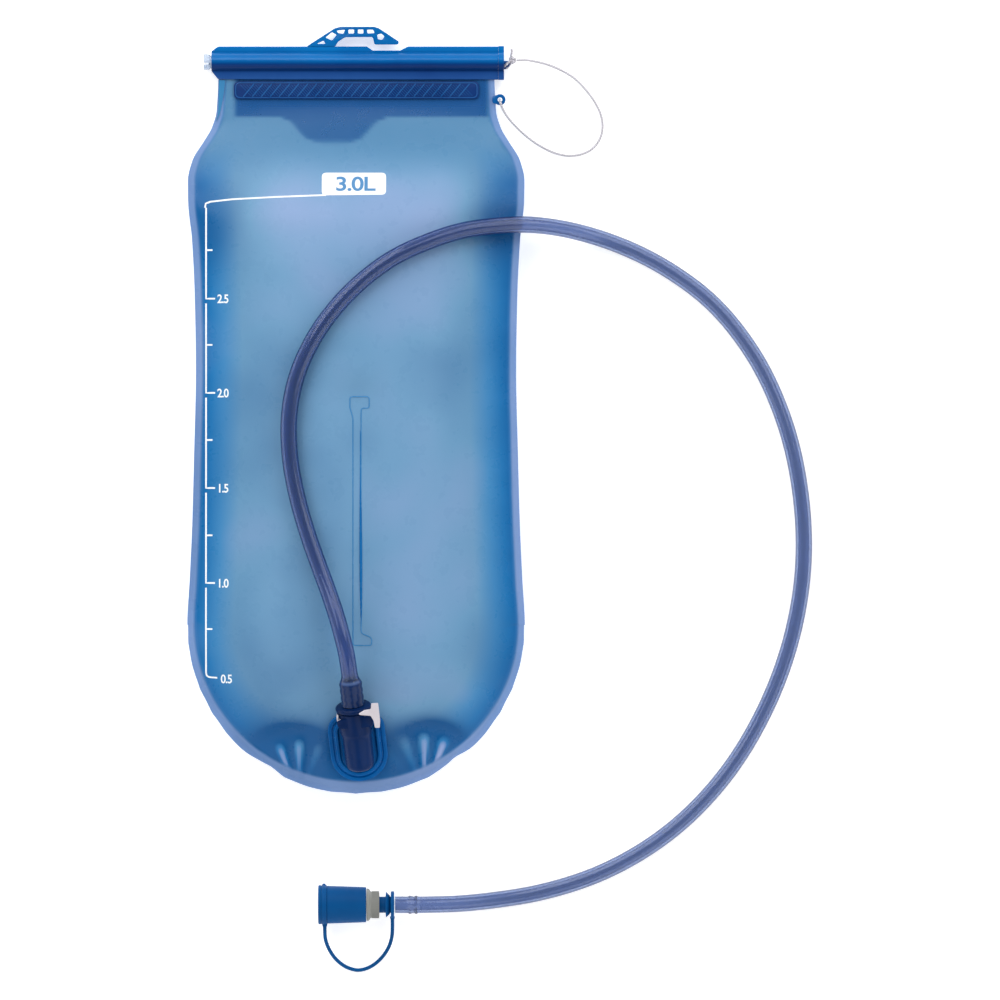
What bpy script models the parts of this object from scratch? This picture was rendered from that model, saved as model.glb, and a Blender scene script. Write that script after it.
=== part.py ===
"""Hydration bladder with a slide closure, a quick-release port, a drinking hose and a bite valve.

The bladder lies on its back. The frame is in metres: +X to the right, +Y towards the closure, +Z up
from the surface, and the origin is under the middle of the bladder, closure and port.
All the lengths below are written in millimetres and turned to metres by MM.
"""

import math

import bmesh
import bpy
from mathutils import Matrix, Vector

MM = 0.001
GAP = 0.3  # clearance between neighbouring pieces

# ---- bladder -------------------------------------------------------------------------------------
FILM = 0.7
WELD_WIDTH = 3.5
CAP_CENTRE_Y = -122.0  # centre of the half-round bottom end
CAP_RADIUS = 95.7
FRONT_RISE = 24.0  # how far the front film stands above the weld, at the middle
REAR_DROP = 32.0  # how far the rear film would hang below the weld, were there no surface under it
NECK_TOP_Y = 193.4
BAFFLE_X = 0.8
BAFFLE_Y = (-130.0, 4.0)
BAFFLE_DIP = 5.0  # how deep the baffle pulls the front film in
BAFFLE_DIP_WIDTH = 15.0

# half width of the film, from the neck down to the start of the half-round end: (y, half width)
SIDE_STATIONS = [
    (-122.0, 95.7), (-96.0, 94.3), (-62.0, 92.8), (-28.0, 91.9), (22.0, 90.8), (62.0, 91.4),
    (96.0, 93.0), (118.0, 95.3), (130.0, 95.5), (141.5, 93.0), (153.0, 86.2), (160.0, 82.2),
    (170.0, 79.4), (NECK_TOP_Y, 78.4),
]
# height of the weld above the surface: it comes down to the closure, which rests on the surface
WELD_HEIGHT = [
    (-218.0, 20.0), (80.0, 20.0), (105.0, 19.2), (130.0, 15.5), (150.0, 10.5), (165.0, 7.3),
    (178.0, 6.3), (NECK_TOP_Y, 6.3),
]
# how full the bladder is along its length, from 1 at the belly to 0 where the films lie flat
FRONT_FULLNESS = [
    (-218.0, 1.0), (40.0, 1.0), (75.0, 0.9), (105.0, 0.72), (130.0, 0.48), (150.0, 0.24),
    (165.0, 0.06), (174.0, 0.0), (NECK_TOP_Y, 0.0),
]
REAR_FULLNESS = [
    (-218.0, 1.0), (40.0, 1.0), (75.0, 0.88), (105.0, 0.65), (130.0, 0.38), (150.0, 0.12),
    (163.0, 0.0), (NECK_TOP_Y, 0.0),
]
NECK_ROWS = [193.4, 187.0, 178.0, 170.0, 162.0, 154.0, 146.0, 137.0, 127.0, 115.0, 98.0, 78.0, 52.0]
BELLY_ROWS = [24.0, -4.0, -32.0, -60.0, -88.0, -106.0]

# ---- slide closure -------------------------------------------------------------------------------
SLIDER_Y = 197.7
SLIDER_Z = 5.8
SLIDER_RADIUS = 5.6
SLIDER_BORE = 4.4
SLIDER_X = (-82.3, 80.6)
END_WALL_X = (80.2, 83.9)
LIP_Y = 187.7
LIP_INSIDE = 1.65
LIP_OUTSIDE = 2.75
RIB_TOP_Y = 206.5
RIB_HALF = 2.0
NOTCH_X = (6.2, 29.2)
NOTCH_Y = 204.3
HOOK_HALF = 1.9
RAIL_RADIUS = 3.7

# ---- port ----------------------------------------------------------------------------------------
PORT_PLACE = (1.45, -190.7, 32.2)
PORT_TILT = 20.0  # degrees, the port follows the slope of the film
PORT_TURN = 6.5  # degrees, towards the left
BASE_HALF_WIDTH = 16.15
BASE_HALF_LENGTH = 20.4
AXIS_HEIGHT = 9.3  # of the plug above the film
SOCKET_MOUTH = 25.8
LATCH_PLACE = 22.1
LATCH_TRAVEL = 1.5
SPRING_ASIDE = 5.6  # from the middle of the latch's plate to its spring

# ---- drinking hose and bite valve ----------------------------------------------------------------
HOSE_DIAMETER = 9.5
VALVE_Y = -281.0
VALVE_Z = 11.3
STRAP_DIAMETER = 2.1
TETHER_DIAMETER = 1.4

HOSE_ROUTE = [
    (-2.9, -152.1, 56.3), (-3.5, -147.2, 58.0), (-4.9, -138.0, 60.0), (-7.3, -128.0, 60.2),
    (-10.4, -117.0, 57.9), (-14.4, -105.0, 54.4), (-20.3, -89.0, 50.6), (-27.0, -70.0, 48.6),
    (-33.2, -48.0, 47.0), (-37.0, -26.0, 46.2), (-37.4, -4.0, 46.1), (-33.6, 17.0, 46.9),
    (-24.6, 38.0, 48.5), (-11.0, 57.6, 49.1), (4.0, 72.8, 48.1), (21.0, 85.3, 45.6),
    (40.0, 94.4, 41.7), (60.0, 101.0, 36.8), (80.0, 104.0, 31.4), (96.0, 104.8, 26.2),
    (110.0, 103.8, 19.0), (123.0, 101.6, 12.2), (136.0, 98.2, 7.4), (150.0, 93.4, 5.3),
    (166.0, 86.8, 4.9), (198.6, 64.0, 4.9), (225.7, 31.3, 4.9), (243.6, -7.7, 4.9),
    (252.7, -49.8, 4.9), (253.8, -91.4, 4.9), (246.1, -134.0, 4.9), (230.9, -173.1, 4.9),
    (208.3, -209.3, 4.9), (178.7, -239.3, 4.9), (142.7, -261.5, 4.9), (103.4, -274.5, 4.9),
    (80.0, -278.4, 5.7), (60.0, -280.4, 8.0), (41.0, -281.0, 10.4), (22.0, -281.0, 11.3),
]
TETHER_ROUTE = [
    (91.4, 198.7, 5.6), (96.0, 198.9, 4.0), (101.5, 198.2, 2.2), (108.3, 196.6, 1.0),
    (115.9, 193.5, 0.8), (123.5, 189.0, 0.8), (131.0, 181.4, 0.8), (136.0, 174.3, 0.8),
    (139.0, 167.7, 0.8), (139.9, 160.7, 0.8), (138.6, 154.7, 0.8), (134.6, 149.0, 0.8),
    (128.5, 145.7, 0.8), (120.9, 144.6, 0.8), (113.3, 146.0, 0.8), (105.7, 149.5, 0.8),
    (98.0, 154.6, 1.2), (90.6, 161.2, 3.2), (86.4, 165.8, 5.6), (83.2, 170.9, 8.6),
]
STRAP_ROUTE = [
    (-17.9, -292.8, 11.0), (-17.9, -296.0, 10.2), (-17.6, -300.5, 7.4), (-15.6, -306.5, 3.8),
    (-11.4, -312.6, 1.8), (-5.8, -316.8, 1.4), (1.1, -318.6, 1.3), (8.0, -316.6, 1.4),
    (13.8, -312.0, 1.8), (18.2, -305.6, 3.8), (20.2, -299.0, 7.2), (20.5, -293.6, 10.2),
    (20.5, -289.4, 11.2),
]


def clear_scene():
    """Take out whatever the file opened with."""
    for item in list(bpy.data.objects):
        bpy.data.objects.remove(item, do_unlink=True)


def make_material(name, colour, roughness, alpha=1.0, metallic=0.0):
    """A plain Principled material."""
    material = bpy.data.materials.new(name)
    material.use_nodes = True
    shader = material.node_tree.nodes["Principled BSDF"]
    shader.inputs["Base Color"].default_value = (*colour, 1.0)
    shader.inputs["Roughness"].default_value = roughness
    shader.inputs["Metallic"].default_value = metallic
    shader.inputs["Alpha"].default_value = alpha
    return material


def smooth_table(stations, at):
    """The value at a place, on a smooth curve through (place, value) stations, held at the ends."""
    if at <= stations[0][0]:
        return stations[0][1]
    if at >= stations[-1][0]:
        return stations[-1][1]
    slopes = []
    for i, (place, value) in enumerate(stations):
        before = stations[max(i - 1, 0)]
        after = stations[min(i + 1, len(stations) - 1)]
        left = (value - before[1]) / (place - before[0]) if i else 0.0
        right = (after[1] - value) / (after[0] - place) if i < len(stations) - 1 else 0.0
        slopes.append(0.0 if left * right <= 0.0 else 2.0 * left * right / (left + right))
    for i in range(len(stations) - 1):
        (a, va), (b, vb) = stations[i], stations[i + 1]
        if a <= at <= b:
            t = (at - a) / (b - a)
            span = b - a
            return (
                (2 * t**3 - 3 * t**2 + 1) * va
                + (t**3 - 2 * t**2 + t) * span * slopes[i]
                + (3 * t**2 - 2 * t**3) * vb
                + (t**3 - t**2) * span * slopes[i + 1]
            )
    return stations[-1][1]


def roundness(x, y):
    """1 on the middle line of the bladder, 0 at the weld and beyond."""
    if y < CAP_CENTRE_Y:
        reach = CAP_RADIUS - WELD_WIDTH
        share = (x * x + (y - CAP_CENTRE_Y) ** 2) / reach**2
    else:
        share = (x / (smooth_table(SIDE_STATIONS, y) - WELD_WIDTH)) ** 2
    return max(0.0, 1.0 - share)


def baffle_pull(x, y):
    """How far the baffle holds the front film down."""
    low, high = BAFFLE_Y
    past = max(0.0, low - y, y - high)
    return BAFFLE_DIP * math.exp(-(((x - BAFFLE_X) ** 2 + past**2) / BAFFLE_DIP_WIDTH**2))


def front_height(x, y):
    """Under side of the front film."""
    rise = FRONT_RISE * roundness(x, y) * smooth_table(FRONT_FULLNESS, y)
    return smooth_table(WELD_HEIGHT, y) + GAP / 2 + rise - baffle_pull(x, y) * roundness(x, y)


def rear_height(x, y):
    """Under side of the rear film, which lies flat where it meets the surface."""
    drop = REAR_DROP * roundness(x, y) * smooth_table(REAR_FULLNESS, y)
    return max(0.0, smooth_table(WELD_HEIGHT, y) - GAP / 2 - FILM - drop)


def add_mesh(name, bm, material, parent=None, smooth=False):
    """Put a bmesh in the scene as a named object, its normals facing out."""
    bmesh.ops.remove_doubles(bm, verts=bm.verts, dist=1e-7)
    bmesh.ops.recalc_face_normals(bm, faces=bm.faces)
    mesh = bpy.data.meshes.new(name)
    bm.to_mesh(mesh)
    bm.free()
    if smooth:
        mesh.shade_smooth()
        mesh.set_sharp_from_angle(angle=math.radians(35.0))
    mesh.materials.append(material)
    item = bpy.data.objects.new(name, mesh)
    bpy.context.scene.collection.objects.link(item)
    item.parent = parent
    return item


def frame_empty(name, place, rotation=None):
    """An empty that holds a sub-assembly in its own directions."""
    empty = bpy.data.objects.new(name, None)
    empty.matrix_world = Matrix.Translation(Vector(place) * MM) @ (rotation or Matrix.Identity(4))
    bpy.context.scene.collection.objects.link(empty)
    bpy.context.view_layer.update()
    return empty


def turned(name, profile, material, parent, axis="Y", height=0.0, steps=20):
    """Spin a profile of (radius, place) points, in order round its outline, about an axis.

    The axis is Y or X of the parent's frame, lifted along Z. A profile that starts and ends at
    radius 0 is left open there, and any other one is closed into a ring.
    """
    bm = bmesh.new()
    points = [bm.verts.new((radius * MM, place * MM, 0.0)) for radius, place in profile]
    edges = [bm.edges.new(pair) for pair in zip(points, points[1:])]
    if profile[0][0] > 0.0:
        edges.append(bm.edges.new((points[-1], points[0])))
    bmesh.ops.spin(
        bm, geom=points + edges, cent=(0, 0, 0), axis=(0, 1, 0), angle=math.tau, steps=steps, use_merge=True
    )
    turn = Matrix.Rotation(math.radians(-90.0), 4, "Z") if axis == "X" else Matrix.Identity(4)
    bmesh.ops.transform(bm, matrix=Matrix.Translation((0, 0, height * MM)) @ turn, verts=bm.verts)
    return add_mesh(name, bm, material, parent, smooth=True)


def lofted(name, loops, material, parent=None, smooth=False):
    """Skin a list of point loops of equal length, and close both ends."""
    bm = bmesh.new()
    rings = [[bm.verts.new([value * MM for value in point]) for point in loop] for loop in loops]
    for lower, upper in zip(rings, rings[1:]):
        for i, vert in enumerate(lower):
            following = (i + 1) % len(lower)
            bm.faces.new((vert, lower[following], upper[following], upper[i]))
    bm.faces.new(rings[0])
    bm.faces.new(rings[-1])
    return add_mesh(name, bm, material, parent, smooth)


def plate(name, outlines, low, high, material, parent=None):
    """A flat plate between two heights: the first outline is its edge, any others are holes."""
    curve = bpy.data.curves.new(name, "CURVE")
    curve.dimensions = "2D"
    curve.fill_mode = "BOTH"
    curve.extrude = (high - low) / 2 * MM
    for outline in outlines:
        spline = curve.splines.new("POLY")
        spline.points.add(len(outline) - 1)
        for point, (x, y) in zip(spline.points, outline):
            point.co = (x * MM, y * MM, 0.0, 1.0)
        spline.use_cyclic_u = True
    curve.materials.append(material)
    item = bpy.data.objects.new(name, curve)
    item.location = (0.0, 0.0, (low + high) / 2 * MM)
    bpy.context.scene.collection.objects.link(item)
    item.parent = parent
    return item


def circle(x, y, radius, sides=16, start=0.0, turn=360.0):
    """Points on a circle, or on an arc when turn is under 360 degrees."""
    count = sides if turn >= 360.0 else sides + 1
    angles = [math.radians(start + turn * i / sides) for i in range(count)]
    return [(x + radius * math.cos(a), y + radius * math.sin(a)) for a in angles]


def cut(item, cutter):
    """Cut a hidden shape out of a piece."""
    cutter.hide_render = True
    cutter.display_type = "WIRE"
    modifier = item.modifiers.new("cut_" + cutter.name, "BOOLEAN")
    modifier.operation = "DIFFERENCE"
    modifier.solver = "EXACT"
    modifier.object = cutter


def join(item, other):
    """Unite a hidden shape with a piece."""
    cut(item, other)
    item.modifiers[-1].operation = "UNION"


def box(name, low, high, material, parent=None):
    """A rectangular block between two corners."""
    bm = bmesh.new()
    bmesh.ops.create_cube(bm, size=1.0)
    size = [(b - a) * MM for a, b in zip(low, high)]
    middle = [(b + a) / 2 * MM for a, b in zip(low, high)]
    place = Matrix.Translation(middle) @ Matrix.Diagonal((*size, 1.0))
    bmesh.ops.transform(bm, matrix=place, verts=bm.verts)
    return add_mesh(name, bm, material, parent)


def smooth_route(route, spacing):
    """Evenly spaced points on a Catmull-Rom curve through the route's own points."""
    points = [Vector(point) for point in route]
    padded = [2 * points[0] - points[1], *points, 2 * points[-1] - points[-2]]
    dense = []
    for a, b, c, d in zip(padded, padded[1:], padded[2:], padded[3:]):
        for step in range(24):
            t = step / 24
            bend = (2 * a - 5 * b + 4 * c - d) * t**2 + (3 * b - a - 3 * c + d) * t**3
            dense.append(0.5 * (2 * b + (c - a) * t + bend))
    dense.append(points[-1])
    reach = [0.0]
    for a, b in zip(dense, dense[1:]):
        reach.append(reach[-1] + (b - a).length)
    count = max(2, round(reach[-1] / spacing))
    even = []
    k = 0
    for i in range(count + 1):
        wanted = reach[-1] * i / count
        while k < len(reach) - 2 and reach[k + 1] < wanted:
            k += 1
        share = (wanted - reach[k]) / max(reach[k + 1] - reach[k], 1e-9)
        even.append(dense[k].lerp(dense[k + 1], share))
    return even


def tube(name, points, diameter, material, parent=None, resolution=2):
    """A round cord along points in millimetres, its ends filled."""
    curve = bpy.data.curves.new(name, "CURVE")
    curve.dimensions = "3D"
    curve.bevel_depth = diameter / 2 * MM
    curve.bevel_resolution = resolution
    curve.render_resolution_u = 0
    curve.use_fill_caps = True
    spline = curve.splines.new("POLY")
    spline.points.add(len(points) - 1)
    for target, point in zip(spline.points, points):
        target.co = (point[0] * MM, point[1] * MM, point[2] * MM, 1.0)
    curve.materials.append(material)
    item = bpy.data.objects.new(name, curve)
    bpy.context.scene.collection.objects.link(item)
    item.parent = parent
    return item


def coil(name, radius, start, end, turns, wire, direction, material, parent, height):
    """A compression spring along Y (direction 'Y') or along X, drawn between two places."""
    steps = round(turns * 10)
    points = []
    for i in range(steps + 1):
        angle = math.tau * turns * i / steps
        along = start + wire / 2 + (end - start - wire) * i / steps
        side = radius * math.cos(angle)
        up = height + radius * math.sin(angle)
        if direction == "X":
            side, along = along, LATCH_PLACE - SPRING_ASIDE + side
        points.append((side, along, up))
    return tube(name, points, wire, material, parent, resolution=1)


def film_panel(name, height, material):
    """One film of the bladder: a grid over its outline, given its thickness upwards."""
    columns = 16
    angles = [math.pi * (i / columns - 0.5) for i in range(columns + 1)]
    bm = bmesh.new()

    def vertex(x, y):
        return bm.verts.new((x * MM, y * MM, height(x, y) * MM))

    rows = []
    for y in NECK_ROWS + BELLY_ROWS + [CAP_CENTRE_Y]:
        edge = smooth_table(SIDE_STATIONS, y)
        inner = edge - WELD_WIDTH
        rows.append([vertex(-edge, y)] + [vertex(inner * math.sin(a), y) for a in angles] + [vertex(edge, y)])
    for upper, lower in zip(rows, rows[1:]):
        for i in range(len(upper) - 1):
            bm.faces.new((upper[i], upper[i + 1], lower[i + 1], lower[i]))
    above = rows[-1][1:-1]
    reach = CAP_RADIUS - WELD_WIDTH
    for share in (0.2, 0.4, 0.58, 0.73, 0.87, 1.0):
        drop = share * reach
        row = [vertex(reach * math.sin(a), CAP_CENTRE_Y - drop * math.cos(a)) for a in angles]
        for i in range(columns):
            bm.faces.new((above[i], above[i + 1], row[i + 1], row[i]))
        above = row
    rim = [vertex(CAP_RADIUS * math.sin(a), CAP_CENTRE_Y - CAP_RADIUS * math.cos(a)) for a in angles]
    for i in range(columns):
        bm.faces.new((above[i], above[i + 1], rim[i + 1], rim[i]))
    bmesh.ops.remove_doubles(bm, verts=bm.verts, dist=1e-6)
    bmesh.ops.recalc_face_normals(bm, faces=bm.faces)
    raised = bmesh.ops.extrude_face_region(bm, geom=bm.faces[:])
    lifted = [item for item in raised["geom"] if isinstance(item, bmesh.types.BMVert)]
    bmesh.ops.translate(bm, verts=lifted, vec=(0.0, 0.0, FILM * MM))
    return add_mesh(name, bm, material, smooth=True)


def make_bladder(materials):
    """The two films, the baffle between them, and what is fixed on the neck."""
    front = film_panel("front_panel", front_height, materials["film"])
    film_panel("rear_panel", rear_height, materials["film"])
    top = min(front_height(BAFFLE_X, y) for y in BAFFLE_Y) - 1.2
    low, high = BAFFLE_Y
    corner_a = (BAFFLE_X - FILM / 2, low, FILM + GAP)
    box("centre_baffle", corner_a, (BAFFLE_X + FILM / 2, high, top), materials["film"])

    closure_z = smooth_table(WELD_HEIGHT, NECK_TOP_Y)
    front_top = closure_z + GAP / 2 + FILM
    rail_profile = [
        (0.0, -86.8), (4.6, -86.8), (4.6, -83.9), (RAIL_RADIUS, -83.0), (RAIL_RADIUS, 79.4), (0.0, 79.4),
    ]
    rail_frame = frame_empty("rail_frame", (0.0, SLIDER_Y, SLIDER_Z))
    turned("fold_rail", rail_profile, materials["clear_plastic"], rail_frame, axis="X", steps=16)

    left_corner = circle(-66.8, 179.5, 2.8, 4, 180.0, 90.0)
    right_corner = circle(66.9, 179.5, 2.8, 4, 270.0, 90.0)
    strip = [(-69.6, 186.5), *left_corner, *right_corner, (69.7, 186.5)]
    plate("front_grip_strip", [strip], front_top + GAP, front_top + GAP + 1.0, materials["grip"])

    lug = [(73.6, 179.2), (73.6, 173.2), *circle(81.6, 176.2, 3.2, 12, -135.0, 270.0)]
    lug_hole = circle(81.6, 176.2, 1.3, 12)
    plate("eyelet_lug", [lug, lug_hole], front_top + GAP, front_top + GAP + 1.4, materials["slider"])

    flap_side = [(193.4, -1.85), (186.0, -1.85), (178.0, -3.2), (170.0, -5.1), (164.0, -5.95), (152.0, -5.95)]
    loops = []
    for y, below in flap_side:
        left = smooth_table([(152.0, -27.0), (159.0, -33.0), (164.0, -39.0), (168.0, -70.0)], y)
        right = smooth_table([(152.0, 1.5), (159.0, 6.5), (164.0, 13.0), (168.0, 76.0)], y)
        z = closure_z + below
        loops.append([(left, y, z), (right, y, z), (right, y, z + FILM), (left, y, z + FILM)])
    lofted("rear_fold_flap", loops, materials["flap"])
    return front


def slider_section(closed):
    """Outline of the slide bar in (y, z) about its bore: a tube with two lips and a rib on top."""
    lip = LIP_Y - SLIDER_Y
    lip_angle = math.degrees(math.asin(LIP_OUTSIDE / SLIDER_RADIUS))
    rib_angle = math.degrees(math.asin(RIB_HALF / SLIDER_RADIUS))
    bore_angle = math.degrees(math.asin(LIP_INSIDE / SLIDER_BORE))
    upper = circle(0.0, 0.0, SLIDER_RADIUS, 9, 180.0 - lip_angle, lip_angle + rib_angle - 180.0)
    lower = circle(0.0, 0.0, SLIDER_RADIUS, 9, -rib_angle, lip_angle + rib_angle - 180.0)
    rib = RIB_TOP_Y - SLIDER_Y
    outline = [(lip, LIP_OUTSIDE), *upper, (rib, RIB_HALF), (rib, -RIB_HALF), *lower, (lip, -LIP_OUTSIDE)]
    if not closed:
        bore = circle(0.0, 0.0, SLIDER_BORE, 14, 180.0 + bore_angle, 360.0 - 2 * bore_angle - 0.001)
        outline += [(lip, -LIP_INSIDE), *bore, (lip, LIP_INSIDE)]
    return outline


def slider_block(name, closed, ends, material):
    """The slide bar's section drawn out along X."""
    section = slider_section(closed)
    loops = [[(x, SLIDER_Y + y, SLIDER_Z + z) for y, z in section] for x in ends]
    return lofted(name, loops, material)


def make_slider(materials):
    """The slide bar, the hanger hook on its back edge, and the tether."""
    bar = slider_block("slider_channel", False, SLIDER_X, materials["slider"])
    wall = slider_block("end_wall", True, END_WALL_X, materials["slider"])
    join(bar, wall)
    notch = box(
        "notch_cutter", (NOTCH_X[0], NOTCH_Y, -1.0), (NOTCH_X[1], RIB_TOP_Y + 2.0, 13.0), materials["slider"]
    )
    cut(bar, notch)

    edge = [
        (-28.3, 206.8), (-12.5, 216.7), (-9.1, 217.7), (10.1, 217.7), (12.9, 216.8), (24.3, 209.2),
        (23.5, 207.6), (10.2, 207.6), (9.3, 211.8), (-6.4, 211.8), (-10.5, 209.2), (-11.9, 206.8),
    ]
    windows = [
        [(-22.6, 208.0), (-17.6, 208.0), (-18.7, 209.9)],
        [(-17.6, 211.6), (-13.9, 214.7), (-11.2, 213.1), (-13.9, 209.9)],
        [(-11.2, 215.6), (-6.4, 216.1), (-7.4, 213.6), (-10.5, 214.1)],
        [(-4.6, 216.2), (-1.3, 216.2), (-1.3, 213.8), (-4.6, 213.8)],
        [(0.8, 216.2), (4.0, 216.2), (4.0, 213.8), (0.8, 213.8)],
        [(6.0, 216.1), (9.5, 216.1), (10.4, 214.1), (6.3, 213.8)],
        [(11.8, 213.3), (14.1, 213.9), (16.0, 212.3), (14.6, 210.2), (12.2, 210.6)],
    ]
    plate("hanger_hook", [edge, *windows], SLIDER_Z - HOOK_HALF, SLIDER_Z + HOOK_HALF, materials["slider"])

    knot = frame_empty("knot_frame", (88.6, 198.7, 5.9))
    bead = [(0.0, -2.3), (1.7, -1.7), (2.3, 0.0), (1.7, 1.7), (0.0, 2.3)]
    turned("tether_knot", bead, materials["tether"], knot, steps=10)
    tube("tether_cord", smooth_route(TETHER_ROUTE, 3.4), TETHER_DIAMETER, materials["tether"])


def stadium(inset, sides=8):
    """Points round the port base's oval, a given way in from its edge."""
    radius = BASE_HALF_WIDTH - inset
    centre = BASE_HALF_LENGTH - BASE_HALF_WIDTH
    return circle(0.0, centre, radius, sides, 0.0, 180.0) + circle(0.0, -centre, radius, sides, 180.0, 180.0)


def make_port(materials, front):
    """The oval base welded on the film, the socket on it, its latch and its valve."""
    tilt = Matrix.Rotation(math.radians(PORT_TILT), 4, "X")
    turn = Matrix.Rotation(math.radians(PORT_TURN), 4, "Z")
    port = frame_empty("port_frame", PORT_PLACE, turn @ tilt)

    film_hole = lofted(
        "film_hole_cutter",
        [[(x, y, z) for x, y in stadium(7.5)] for z in (-9.0, 4.0)],
        materials["film"],
        port,
    )
    cut(front, film_hole)

    steps = [
        (0.0, 0.0), (0.0, 1.5), (0.4, 1.9), (2.0, 1.9), (2.4, 1.3), (3.2, 1.3), (3.6, 2.7),
        (4.0, 3.0), (5.4, 3.0), (5.8, 1.6), (7.2, 1.6),
    ]
    loops = [[(x, y, z) for x, y in stadium(inset)] for inset, z in steps]
    base = lofted("port_base", loops, materials["port"], port)
    inlet = turned(
        "inlet_cutter", [(0.0, -8.0), (3.2, -8.0), (3.2, 9.0), (0.0, 9.0)], materials["port"], port, steps=14
    )
    inlet.rotation_euler = (math.radians(90.0), 0.0, 0.0)
    inlet.location = (0.0, -5.0 * MM, 0.0)
    cut(base, inlet)

    in_recess = 1.6 + GAP  # the foot stands in the base's recess, and steps over its raised ring
    over_ring = 3.0 + GAP
    sections = [
        (-12.6, 2.2, 4.6, in_recess), (-11.4, 4.6, 6.2, in_recess), (-9.8, 6.3, 7.2, in_recess),
        (-7.6, 7.6, 7.7, in_recess), (-5.0, 8.2, 7.8, in_recess),
        (6.8, 8.2, 7.8, in_recess), (7.0, 8.2, 7.8, over_ring), (12.0, 8.2, 7.8, over_ring),
        (14.0, 7.0, 7.8, over_ring), (20.7, 7.0, 7.8, over_ring), (20.9, 7.0, 7.8, in_recess),
        (SOCKET_MOUTH - 0.6, 7.0, 7.8, in_recess), (SOCKET_MOUTH, 6.5, 7.3, in_recess),
    ]
    loops = []
    for place, half_width, rise, foot_height in sections:
        crown = [(half_width * math.cos(a), AXIS_HEIGHT + rise * math.sin(a)) for a in
                 [math.pi * i / 12 for i in range(13)]]
        foot = [(-half_width, foot_height), (half_width, foot_height)]
        loops.append([(x, place, z) for x, z in crown + foot])
    socket = lofted("port_socket", loops, materials["socket"], port)
    bore = [
        (0.0, -8.0), (5.2, -8.0), (5.2, 6.5), (3.6, 6.5), (3.6, 9.6), (4.8, 10.6), (4.8, 40.0), (0.0, 40.0),
    ]
    cut(socket, turned("bore_cutter", bore, materials["socket"], port, height=AXIS_HEIGHT, steps=20))
    cut(socket, inlet)
    slot = box(
        "slot_cutter",
        (-12.0, LATCH_PLACE - 1.1, AXIS_HEIGHT - 6.6),
        (12.0, LATCH_PLACE + 1.1, AXIS_HEIGHT + 6.6),
        materials["socket"],
        port,
    )
    cut(socket, slot)

    make_latch(materials, port)
    make_port_valve(materials, port)
    make_plug(materials, port)


def make_latch(materials, port):
    """The sliding catch across the socket's mouth, with its thumb pad and its spring."""
    half = 0.8
    outline = [
        (-10.9, LATCH_PLACE - half), (9.3, LATCH_PLACE - half), (9.6, 18.0), (10.4, 14.6),
        (13.0, 14.6), (13.8, 20.0), (15.0, 27.2), (14.6, 28.6), (12.0, 28.4), (12.0, 25.6),
        (9.3, 24.6), (9.3, LATCH_PLACE + half), (-10.9, LATCH_PLACE + half),
    ]
    height = 6.3
    loops = [[(x, y, AXIS_HEIGHT + z) for x, y in outline] for z in (-height, height)]
    latch = lofted("latch_plate", loops, materials["latch"], port)
    eye = [[(x, LATCH_PLACE + side, AXIS_HEIGHT + z) for x, z in
            circle(LATCH_TRAVEL, 0.0, 4.9, 8, -90.0, 180.0) + circle(0.0, 0.0, 4.9, 8, 90.0, 180.0)]
           for side in (-4.0, 3.0)]
    eye_cutter = lofted("eye_cutter", eye, materials["latch"], port)
    cut(latch, eye_cutter)
    pocket = turned(
        "pocket_cutter", [(0.0, 5.0), (2.1, 5.0), (2.1, 11.6), (0.0, 11.6)], materials["latch"], port,
        axis="X", height=AXIS_HEIGHT, steps=12,
    )
    pocket.location = (0.0, (LATCH_PLACE - SPRING_ASIDE) * MM, 0.0)
    cut(latch, pocket)
    coil("latch_spring", 1.5, 7.4, 9.4, 3, 0.4, "X", materials["steel"], port, AXIS_HEIGHT)


def make_port_valve(materials, port):
    """The spring-loaded poppet that shuts the socket when the plug is out."""
    poppet = [
        (0.0, -6.0), (1.5, -6.0), (1.5, 0.4), (4.6, 0.4), (4.6, 1.8), (2.9, 1.8), (2.9, 2.2), (0.0, 2.2),
    ]
    turned("poppet", poppet, materials["socket"], port, height=AXIS_HEIGHT, steps=16)
    seal = [(3.3, 2.1), (4.4, 2.1), (4.4, 2.4), (3.3, 2.4)]
    turned("poppet_seal", seal, materials["rubber"], port, height=AXIS_HEIGHT, steps=16)
    coil("poppet_spring", 3.5, -7.7, 0.1, 4, 0.7, "Y", materials["steel"], port, AXIS_HEIGHT)


def make_plug(materials, port):
    """The hose's plug: a nose that opens the valve, two sealed lands, a collar and a barb."""
    outside = [
        (2.0, 2.5), (3.2, 2.5), (3.2, 9.2), (4.4, 10.9), (4.4, 12.4), (3.4, 12.4), (3.4, 14.0),
        (4.4, 14.0), (4.4, 16.4), (3.4, 16.4), (3.4, 18.0), (4.4, 18.0), (4.4, 26.2), (9.4, 26.2),
        (10.15, 27.0), (10.15, 28.2), (9.4, 29.0), (5.2, 29.0), (5.2, 31.0), (6.35, 31.6),
        (5.3, 35.0), (6.35, 35.6), (5.3, 39.0), (6.35, 39.6), (5.0, 43.9), (2.0, 43.9),
    ]
    turned("hose_plug", outside, materials["socket"], port, height=AXIS_HEIGHT, steps=20)
    for name, middle in (("plug_o_ring_inner", 13.2), ("plug_o_ring_outer", 17.2)):
        ring = circle(4.1, middle, 0.38, 6)
        turned(name, ring, materials["rubber"], port, height=AXIS_HEIGHT, steps=16)


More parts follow.
